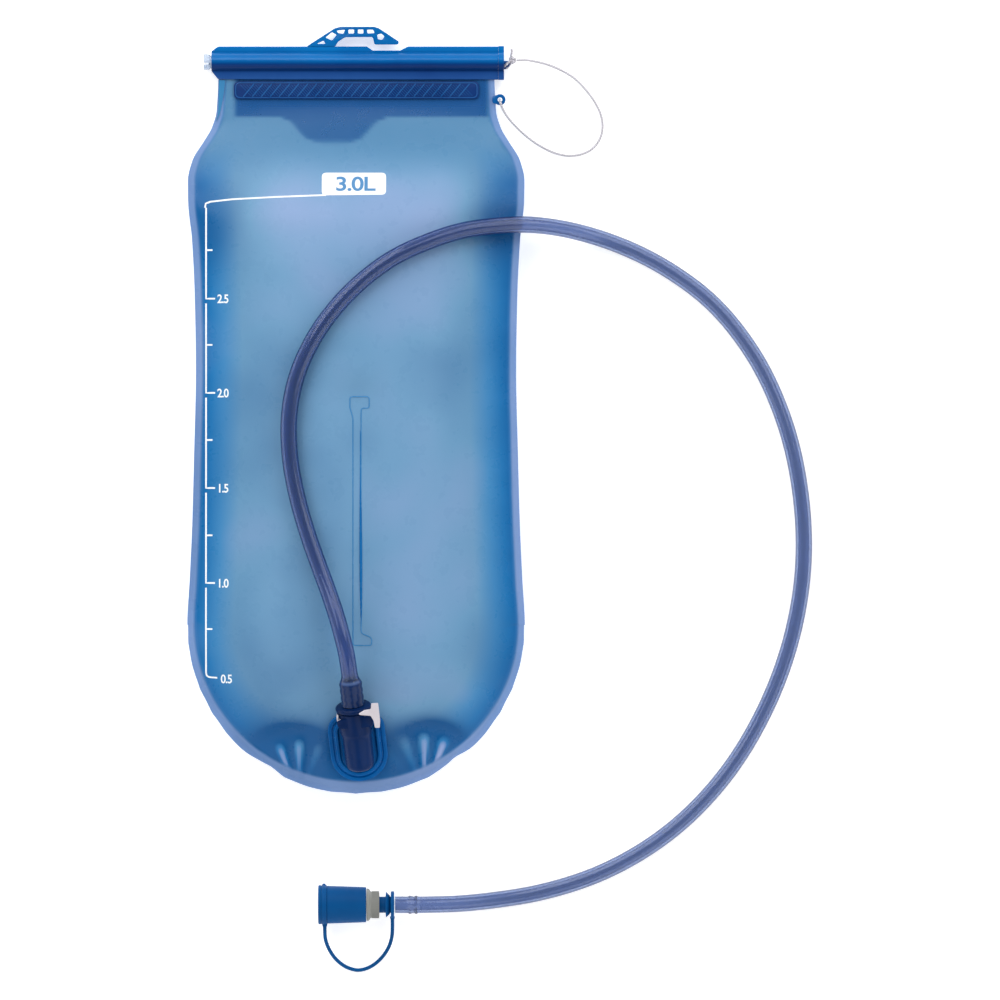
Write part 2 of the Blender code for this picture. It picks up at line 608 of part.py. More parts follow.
def make_bite_valve(materials):
    """The valve on the hose's far end, its cover and the cover's strap."""
    frame = frame_empty("valve_frame", (0.0, VALVE_Y, VALVE_Z))
    shank = [
        (2.4, 8.6), (4.6, 8.6), (4.6, 16.8), (7.2, 16.9), (7.0, 17.3), (5.0, 19.2), (4.4, 19.2),
        (4.4, 21.6), (2.4, 21.6),
    ]
    turned("valve_shank", shank, materials["valve_blue"], frame, axis="X")
    ring = [(4.8, 19.5), (7.7, 19.5), (7.7, 21.7), (4.8, 21.7)]
    turned("strap_ring", ring, materials["valve_blue"], frame, axis="X")
    turned("valve_o_ring", circle(5.3, 10.4, 0.38, 6), materials["rubber"], frame, axis="X", steps=16)
    body = [
        (4.95, 5.9), (9.2, 5.9), (9.2, 7.2), (7.65, 8.2), (7.65, 13.1), (4.95, 13.1), (4.95, 11.2),
        (6.0, 11.2), (6.0, 9.6), (4.95, 9.6),
    ]
    turned("valve_body", body, materials["valve_grey"], frame, axis="X")
    mouth = [
        (0.0, -14.8), (4.2, -14.0), (6.6, -10.4), (7.2, -6.0), (7.2, 2.4), (8.9, 3.4), (8.9, 5.6),
        (4.95, 5.6), (4.95, 1.0), (3.6, 0.0), (3.6, -8.0), (0.0, -11.0),
    ]
    turned("mouthpiece", mouth, materials["silicone"], frame, axis="X")
    cover = [
        (0.0, -19.8), (9.5, -19.8), (9.25, 5.6), (10.0, 5.6), (10.7, -16.5), (10.0, -16.8),
        (10.0, -19.7), (11.1, -20.0), (11.1, -21.2), (10.6, -21.4), (0.0, -21.4),
    ]
    turned("valve_cover", cover, materials["valve_blue"], frame, axis="X", steps=24)
    band = [(10.3, -17.1), (11.1, -17.1), (11.1, -19.4), (10.3, -19.4)]
    turned("cover_band", band, materials["valve_blue"], frame, axis="X", steps=24)
    tube("cover_strap", smooth_route(STRAP_ROUTE, 3.6), STRAP_DIAMETER, materials["valve_blue"])


def main():
    """Build the whole object."""
    clear_scene()
    materials = {
        "film": make_material("film", (0.12, 0.34, 0.60), 0.25, alpha=0.55),
        "flap": make_material("flap", (0.05, 0.15, 0.40), 0.4),
        "clear_plastic": make_material("clear_plastic", (0.62, 0.72, 0.85), 0.15, alpha=0.6),
        "grip": make_material("grip", (0.02, 0.09, 0.28), 0.45),
        "slider": make_material("slider", (0.02, 0.11, 0.36), 0.2),
        "tether": make_material("tether", (0.58, 0.56, 0.60), 0.5),
        "port": make_material("port", (0.01, 0.10, 0.32), 0.2),
        "socket": make_material("socket", (0.01, 0.03, 0.09), 0.3),
        "latch": make_material("latch", (0.66, 0.62, 0.64), 0.4),
        "steel": make_material("steel", (0.6, 0.6, 0.6), 0.3, metallic=1.0),
        "rubber": make_material("rubber", (0.02, 0.02, 0.02), 0.6),
        "hose": make_material("hose", (0.20, 0.25, 0.50), 0.15, alpha=0.6),
        "valve_blue": make_material("valve_blue", (0.01, 0.10, 0.30), 0.4),
        "valve_grey": make_material("valve_grey", (0.38, 0.38, 0.36), 0.5),
        "silicone": make_material("silicone", (0.60, 0.70, 0.80), 0.4),
    }
    front = make_bladder(materials)
    make_slider(materials)
    make_port(materials, front)
    make_bite_valve(materials)
    tube("drinking_hose", smooth_route(HOSE_ROUTE, 15.0), HOSE_DIAMETER, materials["hose"])


main()
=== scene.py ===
"""A hydration bladder lying on its back: film reservoir, slide closure, port, hose and bite valve.

Lengths are written in millimetres in this file and turned to metres by MM where a mesh is made.
+X is to the right, +Y towards the closure, +Z up from the surface that the bladder lies on.
"""
import logging
import math
from dataclasses import dataclass, field
from enum import Enum
from typing import Callable, Sequence

import bmesh
import bpy
from mathutils import Matrix, Vector


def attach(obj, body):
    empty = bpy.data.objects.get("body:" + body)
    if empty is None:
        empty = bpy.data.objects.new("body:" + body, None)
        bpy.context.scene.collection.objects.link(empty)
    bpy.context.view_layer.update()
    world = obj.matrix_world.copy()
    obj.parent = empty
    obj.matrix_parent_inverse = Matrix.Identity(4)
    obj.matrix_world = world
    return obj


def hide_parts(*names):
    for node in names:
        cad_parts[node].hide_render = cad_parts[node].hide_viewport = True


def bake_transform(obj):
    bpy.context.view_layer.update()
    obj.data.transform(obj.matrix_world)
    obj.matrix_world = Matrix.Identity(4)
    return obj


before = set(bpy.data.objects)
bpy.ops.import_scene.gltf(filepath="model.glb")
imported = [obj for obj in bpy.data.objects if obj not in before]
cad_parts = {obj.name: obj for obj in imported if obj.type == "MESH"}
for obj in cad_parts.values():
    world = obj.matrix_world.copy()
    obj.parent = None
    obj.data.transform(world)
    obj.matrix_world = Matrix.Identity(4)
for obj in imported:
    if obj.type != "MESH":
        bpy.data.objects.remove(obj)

LOG = logging.getLogger("bladder")
MM = 0.001
GAP = 0.3  # clearance that touching pieces keep
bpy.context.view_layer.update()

Pair = tuple[float, float]
Triple = tuple[float, float, float]


# ---- small tools ---------------------------------------------------------------------------------


def linear(code: str) -> tuple[float, float, float, float]:
    """Turn an sRGB hex colour such as '#2F6FA8' into linear red, green, blue and 1.

    Args:
        code: the colour as a hex string.

    Returns:
        Linear components with full alpha.
    """
    parts = [int(code[i : i + 2], 16) / 255 for i in (1, 3, 5)]
    red, green, blue = (c / 12.92 if c <= 0.04045 else ((c + 0.055) / 1.055) ** 2.4 for c in parts)
    return (red, green, blue, 1.0)


def add_node(tree: bpy.types.NodeTree, kind: str, settings: dict | None = None, links: dict | None = None):
    """Add a node with its settings and the links into it.

    Args:
        tree: the node tree to add to.
        kind: the node's type name.
        settings: attribute or input names with their values.
        links: input names with the output socket that feeds each.

    Returns:
        The new node.
    """
    node = tree.nodes.new(kind)
    for name, value in (settings or {}).items():
        if isinstance(name, str) and hasattr(node, name):
            setattr(node, name, value)
        else:
            node.inputs[name].default_value = value
    for name, socket in (links or {}).items():
        tree.links.new(socket, node.inputs[name])
    return node


class SmoothTable:
    """A smooth monotone curve through (place, value) stations, held at both ends."""

    def __init__(self, stations: Sequence[Pair]) -> None:
        """Work out the slope at each station.

        Args:
            stations: places in rising order, each with its value.
        """
        self.stations = list(stations)
        self.slopes: list[float] = []
        last = len(self.stations) - 1
        for i, (place, value) in enumerate(self.stations):
            before = self.stations[max(i - 1, 0)]
            after = self.stations[min(i + 1, last)]
            left = (value - before[1]) / (place - before[0]) if i else 0.0
            right = (after[1] - value) / (after[0] - place) if i < last else 0.0
            self.slopes.append(0.0 if left * right <= 0.0 else 2.0 * left * right / (left + right))

    def __call__(self, at: float) -> float:
        """The curve's value at a place."""
        stations = self.stations
        if at <= stations[0][0]:
            return stations[0][1]
        if at >= stations[-1][0]:
            return stations[-1][1]
        i = 0
        while stations[i + 1][0] < at:
            i += 1
        (a, value_a), (b, value_b) = stations[i], stations[i + 1]
        span = b - a
        t = (at - a) / span
        rise = (3 - 2 * t) * t * t
        return (
            (1 - rise) * value_a
            + rise * value_b
            + (t - 1) ** 2 * t * span * self.slopes[i]
            + (t - 1) * t * t * span * self.slopes[i + 1]
        )


def smoothstep(low: float, high: float, at: float) -> float:
    """0 at low, 1 at high, and smooth between; low may be the larger."""
    t = min(1.0, max(0.0, (at - low) / (high - low)))
    return t * t * (3 - 2 * t)


def smooth_route(route: Sequence[Triple], spacing: float) -> list[Vector]:
    """Evenly spaced points on a smooth curve through a route's own points.

    Args:
        route: the points to pass through, which need not be evenly spaced.
        spacing: the distance between the points that come back.

    Returns:
        The points, from the route's first to its last.
    """
    points = [Vector(point) for point in route]
    padded = [2 * points[0] - points[1], *points, 2 * points[-1] - points[-2]]
    spans = [(b - a).length for a, b in zip(padded, padded[1:])]
    slopes = [(b - a) / span for a, b, span in zip(padded, padded[1:], spans)]
    headings = [
        (slopes[i] * spans[i + 1] + slopes[i + 1] * spans[i]) / (spans[i] + spans[i + 1])
        for i in range(len(points))
    ]
    dense = []
    for i, (a, b) in enumerate(zip(points, points[1:])):
        leave, arrive = headings[i] * spans[i + 1], headings[i + 1] * spans[i + 1]
        for step in range(24):
            t = step / 24
            dense.append(
                a * (2 * t**3 - 3 * t**2 + 1) + leave * (t**3 - 2 * t**2 + t)
                + b * (3 * t**2 - 2 * t**3) + arrive * (t**3 - t**2)
            )
    dense.append(points[-1])
    reach = [0.0]
    for a, b in zip(dense, dense[1:]):
        reach.append(reach[-1] + (b - a).length)
    count = max(2, round(reach[-1] / spacing))
    even, k = [], 0
    for i in range(count + 1):
        target = reach[-1] * i / count
        while k < len(dense) - 2 and reach[k + 1] < target:
            k += 1
        span = reach[k + 1] - reach[k]
        even.append(dense[k].lerp(dense[k + 1], (target - reach[k]) / span if span else 0.0))
    return even


def route_length(points: Sequence[Vector]) -> float:
    """Length along a list of points."""
    return sum((b - a).length for a, b in zip(points, points[1:]))


def fillet(points: Sequence[Pair], radius: float, closed: bool = True, steps: int = 4) -> list[Pair]:
    """Round the corners of an outline with short curves.

    Args:
        points: the outline's corners.
        radius: how far the curve starts from each corner, at most.
        closed: whether the last point joins the first.
        steps: pieces in each curve.

    Returns:
        The rounded outline.
    """
    out: list[Pair] = []
    count = len(points)
    for i, corner in enumerate(points):
        if not closed and i in (0, count - 1):
            out.append(corner)
            continue
        here = Vector(corner)
        before = Vector(points[i - 1]) - here
        after = Vector(points[(i + 1) % count]) - here
        if before.angle(after, math.pi) > math.radians(160.0):
            out.append(corner)
            continue
        reach = min(radius, 0.48 * before.length, 0.48 * after.length)
        start = here + before.normalized() * reach
        end = here + after.normalized() * reach
        for step in range(steps + 1):
            t = step / steps
            spot = (1 - t) ** 2 * start + 2 * t * (1 - t) * here + t * t * end
            out.append((spot.x, spot.y))
    return out


def arc(x: float, y: float, radius: float, start: float, turn: float, sides: int) -> list[Pair]:
    """Points on an arc, angles in degrees; a full turn leaves out the repeated end."""
    count = sides if abs(turn) >= 360.0 else sides + 1
    angles = [math.radians(start + turn * i / sides) for i in range(count)]
    return [(x + radius * math.cos(a), y + radius * math.sin(a)) for a in angles]


def add_piece(
    name: str,
    bm: bmesh.types.BMesh,
    material: bpy.types.Material,
    body: str | None,
    sharp: float = 38.0,
) -> bpy.types.Object:
    """Turn a bmesh in metres into a finished piece.

    Args:
        name: the piece's name.
        bm: its shape, which is freed here.
        material: its finish.
        body: the body that it rides on, or None for no body.
        sharp: edges over this many degrees stay sharp.

    Returns:
        The object, at the origin.
    """
    bmesh.ops.remove_doubles(bm, verts=bm.verts, dist=1e-7)
    bmesh.ops.recalc_face_normals(bm, faces=bm.faces)
    mesh = bpy.data.meshes.new(name)
    bm.to_mesh(mesh)
    bm.free()
    mesh.shade_smooth()
    mesh.set_sharp_from_angle(angle=math.radians(sharp))
    mesh.materials.append(material)
    piece = bpy.data.objects.new(name, mesh)
    bpy.context.scene.collection.objects.link(piece)
    if body:
        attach(piece, body)
    LOG.info("%s: %d faces on %s", name, len(mesh.polygons), body or "two bodies")
    return piece


def turned(profile: Sequence[Pair], place: Matrix, steps: int = 64) -> bmesh.types.BMesh:
    """Spin a profile of (radius, place) points about the local Y axis.

    Args:
        profile: the outline in order. One that starts and ends at radius 0 is left open there.
        place: where the local frame stands, in metres.
        steps: how many sides.

    Returns:
        The turned shape, in metres.
    """
    bm = bmesh.new()
    points = [bm.verts.new((radius * MM, along * MM, 0.0)) for radius, along in profile]
    edges = [bm.edges.new(pair) for pair in zip(points, points[1:])]
    if profile[0][0] > 0.0:
        edges.append(bm.edges.new((points[-1], points[0])))
    bmesh.ops.spin(
        bm, geom=points + edges, cent=(0, 0, 0), axis=(0, 1, 0), angle=math.tau, steps=steps, use_merge=True
    )
    bmesh.ops.transform(bm, matrix=place, verts=bm.verts)
    bmesh.ops.remove_doubles(bm, verts=bm.verts, dist=1e-7)
    return bm


def lofted(loops: Sequence[Sequence[Triple]], place: Matrix | None = None) -> bmesh.types.BMesh:
    """Skin point loops of equal length, and close both ends.

    Args:
        loops: loops of points in millimetres.
        place: where the local frame stands, in metres.

    Returns:
        The closed shape, in metres.
    """
    bm = bmesh.new()
    rings = [[bm.verts.new([value * MM for value in point]) for point in loop] for loop in loops]
    for lower, upper in zip(rings, rings[1:]):
        for i, vert in enumerate(lower):
            following = (i + 1) % len(lower)
            bm.faces.new((vert, lower[following], upper[following], upper[i]))
    bm.faces.new(rings[0])
    bm.faces.new(rings[-1])
    if place:
        bmesh.ops.transform(bm, matrix=place, verts=bm.verts)
    return bm


def slab(outline: Sequence[Pair], low: float, high: float, place: Matrix | None = None) -> bmesh.types.BMesh:
    """A flat plate.

    Args:
        outline: its corners, in order.
        low: its under side.
        high: its upper side.
        place: where the local frame stands, in metres.

    Returns:
        The closed shape, in metres.
    """
    return lofted([[(x, y, z) for x, y in outline] for z in (low, high)], place)


def softened(
    shape: bmesh.types.BMesh, width: float, turn: float = 40.0, segments: int = 2
) -> bmesh.types.BMesh:
    """Round over every edge of a closed shape that turns more than an angle.

    Args:
        shape: the shape, which is changed.
        width: how wide the rounding is, in millimetres, at most.
        turn: the smallest angle that is rounded, in degrees.
        segments: pieces in each rounding.

    Returns:
        The same shape.
    """
    bmesh.ops.recalc_face_normals(shape, faces=shape.faces)
    sharp = [
        edge for edge in shape.edges
        if len(edge.link_faces) == 2 and edge.calc_face_angle(0.0) > math.radians(turn)
    ]
    bmesh.ops.bevel(
        shape, geom=sharp, offset=width * MM, segments=segments, profile=0.5, affect="EDGES",
        clamp_overlap=True,
    )
    return shape


def swept(points: Sequence[Vector], radii: Sequence[float], sides: int, wall: float = 0.0):
    """A round tube along points, closed at both ends, with UVs in millimetres along and turns around.

    Args:
        points: the centre line, in millimetres.
        radii: the outer radius at each point.
        sides: sides round the tube.
        wall: the thickness of the tube's wall, or 0 for a solid cord.

    Returns:
        The shape, in metres.
    """
    bm = bmesh.new()
    uv_layer = bm.loops.layers.uv.new("along_and_around")
    along = 0.0
    side_way = (points[1] - points[0]).orthogonal().normalized()
    rings: list[tuple[list[bmesh.types.BMVert], list[bmesh.types.BMVert], float]] = []
    for i, point in enumerate(points):
        heading = (points[min(i + 1, len(points) - 1)] - points[max(i - 1, 0)]).normalized()
        side_way = (side_way - heading * side_way.dot(heading)).normalized()
        up_way = heading.cross(side_way)
        if i:
            along += (point - points[i - 1]).length
        shells = []
        for reach in (radii[i], radii[i] - wall if wall else 0.0):
            ring = []
            for k in range(sides if reach else 0):
                angle = math.tau * k / sides
                spot = point + (side_way * math.cos(angle) + up_way * math.sin(angle)) * reach
                ring.append(bm.verts.new(spot * MM))
            shells.append(ring)
        rings.append((shells[0], shells[1], along))
    for (outer_a, inner_a, start), (outer_b, inner_b, end) in zip(rings, rings[1:]):
        for near, far in ((outer_a, outer_b), (inner_a, inner_b)):
            for k in range(len(near)):
                following = (k + 1) % sides
                face = bm.faces.new((near[k], near[following], far[following], far[k]))
                around = (k / sides, (k + 1) / sides, (k + 1) / sides, k / sides)
                for loop, place, turn in zip(face.loops, (start, start, end, end), around):
                    loop[uv_layer].uv = (place, turn)
    for outer, inner, _ in (rings[0], rings[-1]):
        if inner:
            for k in range(sides):
                following = (k + 1) % sides
                bm.faces.new((outer[k], outer[following], inner[following], inner[k]))
        else:
            bm.faces.new(outer)
    return bm


def merged(shapes: Sequence[bmesh.types.BMesh]) -> bmesh.types.BMesh:
    """Put several shapes into one, as separate shells."""
    whole = bmesh.new()
    for shape in shapes:
        mesh = bpy.data.meshes.new("part_of_piece")
        shape.to_mesh(mesh)
        shape.free()
        whole.from_mesh(mesh)
        bpy.data.meshes.remove(mesh)
    return whole


def with_cuts(shape: bmesh.types.BMesh, cutters: Sequence[bmesh.types.BMesh]) -> bmesh.types.BMesh:
    """Cut closed shapes out of a closed shape.

    Args:
        shape: the shape that is cut, which is freed here.
        cutters: the shapes that are taken out of it, freed here as well.

    Returns:
        What is left.
    """
    block = scratch_object("block", shape)
    tools = [scratch_object("cutter", cutter) for cutter in cutters]
    for tool in tools:
        modifier = block.modifiers.new("cut", "BOOLEAN")
        modifier.operation = "DIFFERENCE"
        modifier.solver = "EXACT"
        modifier.object = tool
    bpy.context.view_layer.update()
    evaluated = block.evaluated_get(bpy.context.evaluated_depsgraph_get())
    out = bmesh.new()
    out.from_mesh(evaluated.to_mesh())
    evaluated.to_mesh_clear()
    for item in [block, *tools]:
        mesh = item.data
        bpy.data.objects.remove(item, do_unlink=True)
        bpy.data.meshes.remove(mesh)
    return out


def scratch_object(name: str, shape: bmesh.types.BMesh) -> bpy.types.Object:
    """A short-lived object that holds a shape while modifiers work on it."""
    bmesh.ops.recalc_face_normals(shape, faces=shape.faces)
    mesh = bpy.data.meshes.new(name)
    shape.to_mesh(mesh)
    shape.free()
    item = bpy.data.objects.new(name, mesh)
    bpy.context.scene.collection.objects.link(item)
    return item


# ---- finishes ------------------------------------------------------------------------------------


def new_material(name: str) -> tuple[bpy.types.Material, bpy.types.NodeTree, bpy.types.Node]:
    """A material with its node tree and its Principled shader."""
    material = bpy.data.materials.new(name)
    material.use_nodes = True
    tree = material.node_tree
    return material, tree, tree.nodes["Principled BSDF"]


def colour_ramp(
    tree: bpy.types.NodeTree, factor: bpy.types.NodeSocket, stops: Sequence[tuple[float, object]]
) -> bpy.types.NodeSocket:
    """Run a factor through a ramp of hex colours, or of plain numbers.

    Args:
        tree: the tree to add to.
        factor: what drives the ramp.
        stops: places from 0 to 1, each with a hex colour or a number.

    Returns:
        The ramp's colour output.
    """
    node = add_node(tree, "ShaderNodeValToRGB", links={"Fac": factor})
    elements = node.color_ramp.elements
    while len(elements) < len(stops):
        elements.new(0.5)
    for element, (place, value) in zip(elements, stops):
        element.position = place
        element.color = linear(value) if isinstance(value, str) else (value, value, value, 1.0)
    return node.outputs["Color"]


def noise(tree: bpy.types.NodeTree, size_mm: float, detail: float = 3.0) -> bpy.types.NodeSocket:
    """Noise on Object coordinates whose patches are about size_mm across."""
    place = add_node(tree, "ShaderNodeTexCoord").outputs["Object"]
    settings = {"Scale": 1.0 / (size_mm * MM), "Detail": detail, "Roughness": 0.55}
    return add_node(tree, "ShaderNodeTexNoise", settings, {"Vector": place}).outputs["Fac"]


def add_bump(
    tree: bpy.types.NodeTree, shader: bpy.types.Node, height: bpy.types.NodeSocket, depth_mm: float,
    strength: float,
) -> None:
    """Drive the shader's normal from a height of 0 to 1."""
    settings = {"Strength": strength, "Distance": depth_mm * MM}
    bump = add_node(tree, "ShaderNodeBump", settings, {"Height": height})
    tree.links.new(bump.outputs["Normal"], shader.inputs["Normal"])


def vary(
    tree: bpy.types.NodeTree, factor: bpy.types.NodeSocket, low: float, high: float
) -> bpy.types.NodeSocket:
    """Spread a factor's middle part, from 0.3 to 0.7, between two values."""
    settings = {"From Min": 0.3, "From Max": 0.7, "To Min": low, "To Max": high}
    return add_node(tree, "ShaderNodeMapRange", settings, {"Value": factor}).outputs["Result"]


def share_between(
    tree: bpy.types.NodeTree, value: bpy.types.NodeSocket, start: float, end: float
) -> bpy.types.NodeSocket:
    """How far a value has come from start to end, held between 0 and 1."""
    settings = {"From Min": start, "From Max": end}
    return add_node(tree, "ShaderNodeMapRange", settings, {"Value": value}).outputs["Result"]


def mixed(tree: bpy.types.NodeTree, share, under, over, blend: str = "MIX") -> bpy.types.NodeSocket:
    """Lay one colour over another.

    Args:
        tree: the tree to add to.
        share: how much of the upper colour shows, as a socket or a number.
        under: the lower colour, as a socket or a hex colour.
        over: the upper colour, as a socket or a hex colour.
        blend: how the two are put together.

    Returns:
        The mixed colour.
    """
    settings, links = {"data_type": "RGBA", "blend_type": blend}, {}
    for slot, value in ((0, share), (6, under), (7, over)):
        if isinstance(value, bpy.types.NodeSocket):
            links[slot] = value
        else:
            settings[slot] = linear(value) if isinstance(value, str) else value
    return add_node(tree, "ShaderNodeMix", settings, links).outputs[2]


@dataclass(frozen=True)
class FilmFinish:
    """Polyurethane film, calendered and heat welded: a satin see-through blue, paler on the weld.

    The colours are painted by place: a milky blue in the middle, a deep band beside the weld that is
    painted shade where the film slopes down to it, a pale rim on the weld, and a thinner, clearer neck.
    Four attributes of the mesh say where: inset_mm, how far a point is in from the weld; tone, painted
    highlight above 0 and painted shade below 0; neck, 1 where the mouth is; and backed, 1 where the
    folded flap lies behind.
    """

    name: str
    body_cover: tuple[float, ...]
    neck_cover: float
    weld_colour: str = "#7D9FD3"
    painted_shade_band_colour: str = "#0F67A6"
    open_colour: str = "#6A9CC2"
    neck_colour: str = "#5791BC"
    backed_colour: str = "#215C9D"
    pale_cloud_and_highlight_colour: str = "#9FAFDC"
    deep_cloud_and_shade_colour: str = "#015592"
    cloud_mm: float = 85.0

    def build(self) -> bpy.types.Material:
        """Make the material."""
        material, tree, shader = new_material(self.name)
        inset, tone, neck, backed = (
            add_node(tree, "ShaderNodeAttribute", {"attribute_name": name}).outputs["Fac"]
            for name in ("inset_mm", "tone", "neck", "backed")
        )
        place = share_between(tree, inset, -5.0, 45.0)
        # The deep band beside the weld is painted shade where the film slopes down to the weld; it grades
        # into the milky middle.
        tint = colour_ramp(tree, place, [
            (0.0, self.weld_colour), (0.075, self.weld_colour), (0.105, "#2F74B2"), (0.13, self.painted_shade_band_colour),
            (0.2, "#1E74B2"), (0.34, "#4389BF"), (0.55, self.open_colour), (1.0, "#74A3C9"),
        ])
        cloud = vary(tree, noise(tree, self.cloud_mm, 2.0), -0.3, 0.3)
        # The random clouds plus the painted light: paler for the clouds and the painted highlight, deeper for
        # the clouds and the painted shade.
        shade = add_node(tree, "ShaderNodeMath", {"operation": "ADD"}, {0: cloud, 1: tone}).outputs[0]
        for colour, limit in ((self.pale_cloud_and_highlight_colour, 1.0), (self.deep_cloud_and_shade_colour, -1.0)):
            tint = mixed(tree, share_between(tree, shade, 0.0, limit), tint, colour)
        for colour, share in ((self.neck_colour, neck), (self.backed_colour, backed)):
            tint = mixed(tree, share, tint, colour)
        tree.links.new(tint, shader.inputs["Base Color"])
        rim, fused, steep, open_part = self.body_cover
        cover = colour_ramp(tree, place, [
            (0.0, rim), (0.085, fused), (0.125, steep), (0.3, 0.5 * (steep + open_part)), (0.6, open_part),
            (1.0, open_part),
        ])
        thin = add_node(tree, "ShaderNodeMix", {3: self.neck_cover}, {0: neck, 2: cover}).outputs[0]
        tree.links.new(thin, shader.inputs["Alpha"])
        shader.inputs["IOR"].default_value = 1.5
        shader.inputs["Specular IOR Level"].default_value = 0.22
        tree.links.new(vary(tree, noise(tree, 9.0), 0.24, 0.36), shader.inputs["Roughness"])
        add_bump(tree, shader, noise(tree, 1.6, 2.0), 0.02, 0.12)
        return material


@dataclass(frozen=True)
class PlasticFinish:
    """A moulded or extruded plastic: its own colour, faint flow marks and a slightly uneven gloss."""

    name: str
    colour: str
    deep: str
    roughness: float
    mark_mm: float = 6.0
    coat: float = 0.0
    grain_depth: float = 0.015
    subsurface: float = 0.0
    specular: float = 0.2

    def build(self) -> bpy.types.Material:
        """Make the material."""
        material, tree, shader = new_material(self.name)
        tint = colour_ramp(tree, noise(tree, self.mark_mm * 4), [(0.32, self.deep), (0.68, self.colour)])
        tree.links.new(tint, shader.inputs["Base Color"])
        gloss = vary(tree, noise(tree, self.mark_mm), self.roughness * 0.85, self.roughness * 1.2)
        tree.links.new(gloss, shader.inputs["Roughness"])
        shader.inputs["Specular IOR Level"].default_value = self.specular
        shader.inputs["Coat Weight"].default_value = self.coat
        shader.inputs["Subsurface Weight"].default_value = self.subsurface
        shader.inputs["Subsurface Scale"].default_value = 2.0 * MM
        add_bump(tree, shader, noise(tree, 0.7, 2.0), self.grain_depth, 0.35)
        return material


@dataclass(frozen=True)
class SlideFinish:
    """Glossy blue polypropylene: a bright rib, a dark band along the middle, and softer lips.

    The bands are painted across the bar: the bright rib and a painted highlight just above the
    middle are painted light, and the dark band below the middle is painted shade, as light falls from
    beyond the rib; the dark band also stands in place of the rolled film that shows through a real one.
    """

    name: str = "glossy_blue_polypropylene_with_painted_light"
    low: float = 187.7
    high: float = 206.5

    def build(self) -> bpy.types.Material:
        """Make the material; the bands go by the place across the bar, at rest."""
        material, tree, shader = new_material(self.name)
        where = add_node(tree, "ShaderNodeTexCoord").outputs["Object"]
        across = add_node(tree, "ShaderNodeSeparateXYZ", links={"Vector": where}).outputs["Y"]
        place = share_between(tree, across, self.low * MM, self.high * MM)
        # Painted light across the bar: the rib and the stop at 0.62 are painted highlight, the dark band from
        # 0.27 to 0.45 is painted shade.
        tint = colour_ramp(tree, place, [
            (0.0, "#255090"), (0.2, "#1A4584"), (0.27, "#002B62"), (0.45, "#003473"), (0.62, "#066DB4"),
            (0.8, "#0664A8"), (0.93, "#0874BC"), (1.0, "#0868AC"),
        ])
        mottle = colour_ramp(tree, noise(tree, 30.0), [(0.3, "#C8D6E6"), (0.7, "#FFFFFF")])
        tint = mixed(tree, 0.7, tint, mottle, "MULTIPLY")
        tree.links.new(tint, shader.inputs["Base Color"])
        tree.links.new(vary(tree, noise(tree, 14.0), 0.15, 0.23), shader.inputs["Roughness"])
        shader.inputs["Specular IOR Level"].default_value = 0.24
        shader.inputs["Coat Weight"].default_value = 0.05
        shader.inputs["Coat Roughness"].default_value = 0.08
        add_bump(tree, shader, noise(tree, 3.0, 2.0), 0.02, 0.25)
        return material


@dataclass(frozen=True)
class ClearFinish:
    """Clear tinted plastic: light passes through, with a little haze in the wall."""

    name: str
    colour: str
    haze: float = 0.2
    roughness: float = 0.1

    def build(self) -> bpy.types.Material:
        """Make the material."""
        material, tree, shader = new_material(self.name)
        shader.inputs["Base Color"].default_value = linear(self.colour)
        shader.inputs["Transmission Weight"].default_value = 1.0 - self.haze
        shader.inputs["IOR"].default_value = 1.45
        gloss = vary(tree, noise(tree, 12.0), self.roughness * 0.8, self.roughness * 1.3)
        tree.links.new(gloss, shader.inputs["Roughness"])
        add_bump(tree, shader, noise(tree, 5.0, 2.0), 0.05, 0.2)
        return material


@dataclass(frozen=True)
class TubeFinish:
    """Soft clear tube with a blue-violet tint, which is darker where its wall is seen at a low angle.

    Two changes of colour are painted along it: an opaque navy end over the plug's barb, and a bluer
    tint in the length that lies over the bag at rest. A real tube has one tint from end to end.
    """

    name: str = "tinted_soft_tube"
    over_bag_tint: str = "#CDE2FC"
    barb_colour: str = "#0C2755"
    haze: float = 0.12
    over_barb_mm: float = 14.5
    over_bag_mm: float = 345.0

    def build(self) -> bpy.types.Material:
        """Make the material; the place along the tube is the first UV, in millimetres."""
        material, tree, shader = new_material(self.name)
        facing = add_node(tree, "ShaderNodeLayerWeight", {"Blend": 0.5}).outputs["Facing"]
        tint = colour_ramp(tree, facing, [
            (0.0, "#98A9CE"), (0.25, "#8D9FC8"), (0.45, "#5B70A4"), (0.7, "#2E4480"), (1.0, "#1E3068"),
        ])
        where = add_node(tree, "ShaderNodeUVMap", {"uv_map": "along_and_around"}).outputs["UV"]
        along = add_node(tree, "ShaderNodeSeparateXYZ", links={"Vector": where}).outputs["X"]
        past = share_between(tree, along, self.over_barb_mm - 1.5, self.over_barb_mm + 2.0)
        over_bag = share_between(tree, along, self.over_bag_mm + 20.0, self.over_bag_mm)
        tint = mixed(tree, over_bag, tint, self.over_bag_tint, "MULTIPLY")
        tint = mixed(tree, past, self.barb_colour, tint)
        tree.links.new(tint, shader.inputs["Base Color"])
        tree.links.new(vary(tree, past, 0.0, 1.0 - self.haze), shader.inputs["Transmission Weight"])
        shader.inputs["IOR"].default_value = 1.45
        shader.inputs["Specular IOR Level"].default_value = 0.25
        tree.links.new(vary(tree, noise(tree, 12.0), 0.08, 0.14), shader.inputs["Roughness"])
        add_bump(tree, shader, noise(tree, 5.0, 2.0), 0.05, 0.2)
        return material


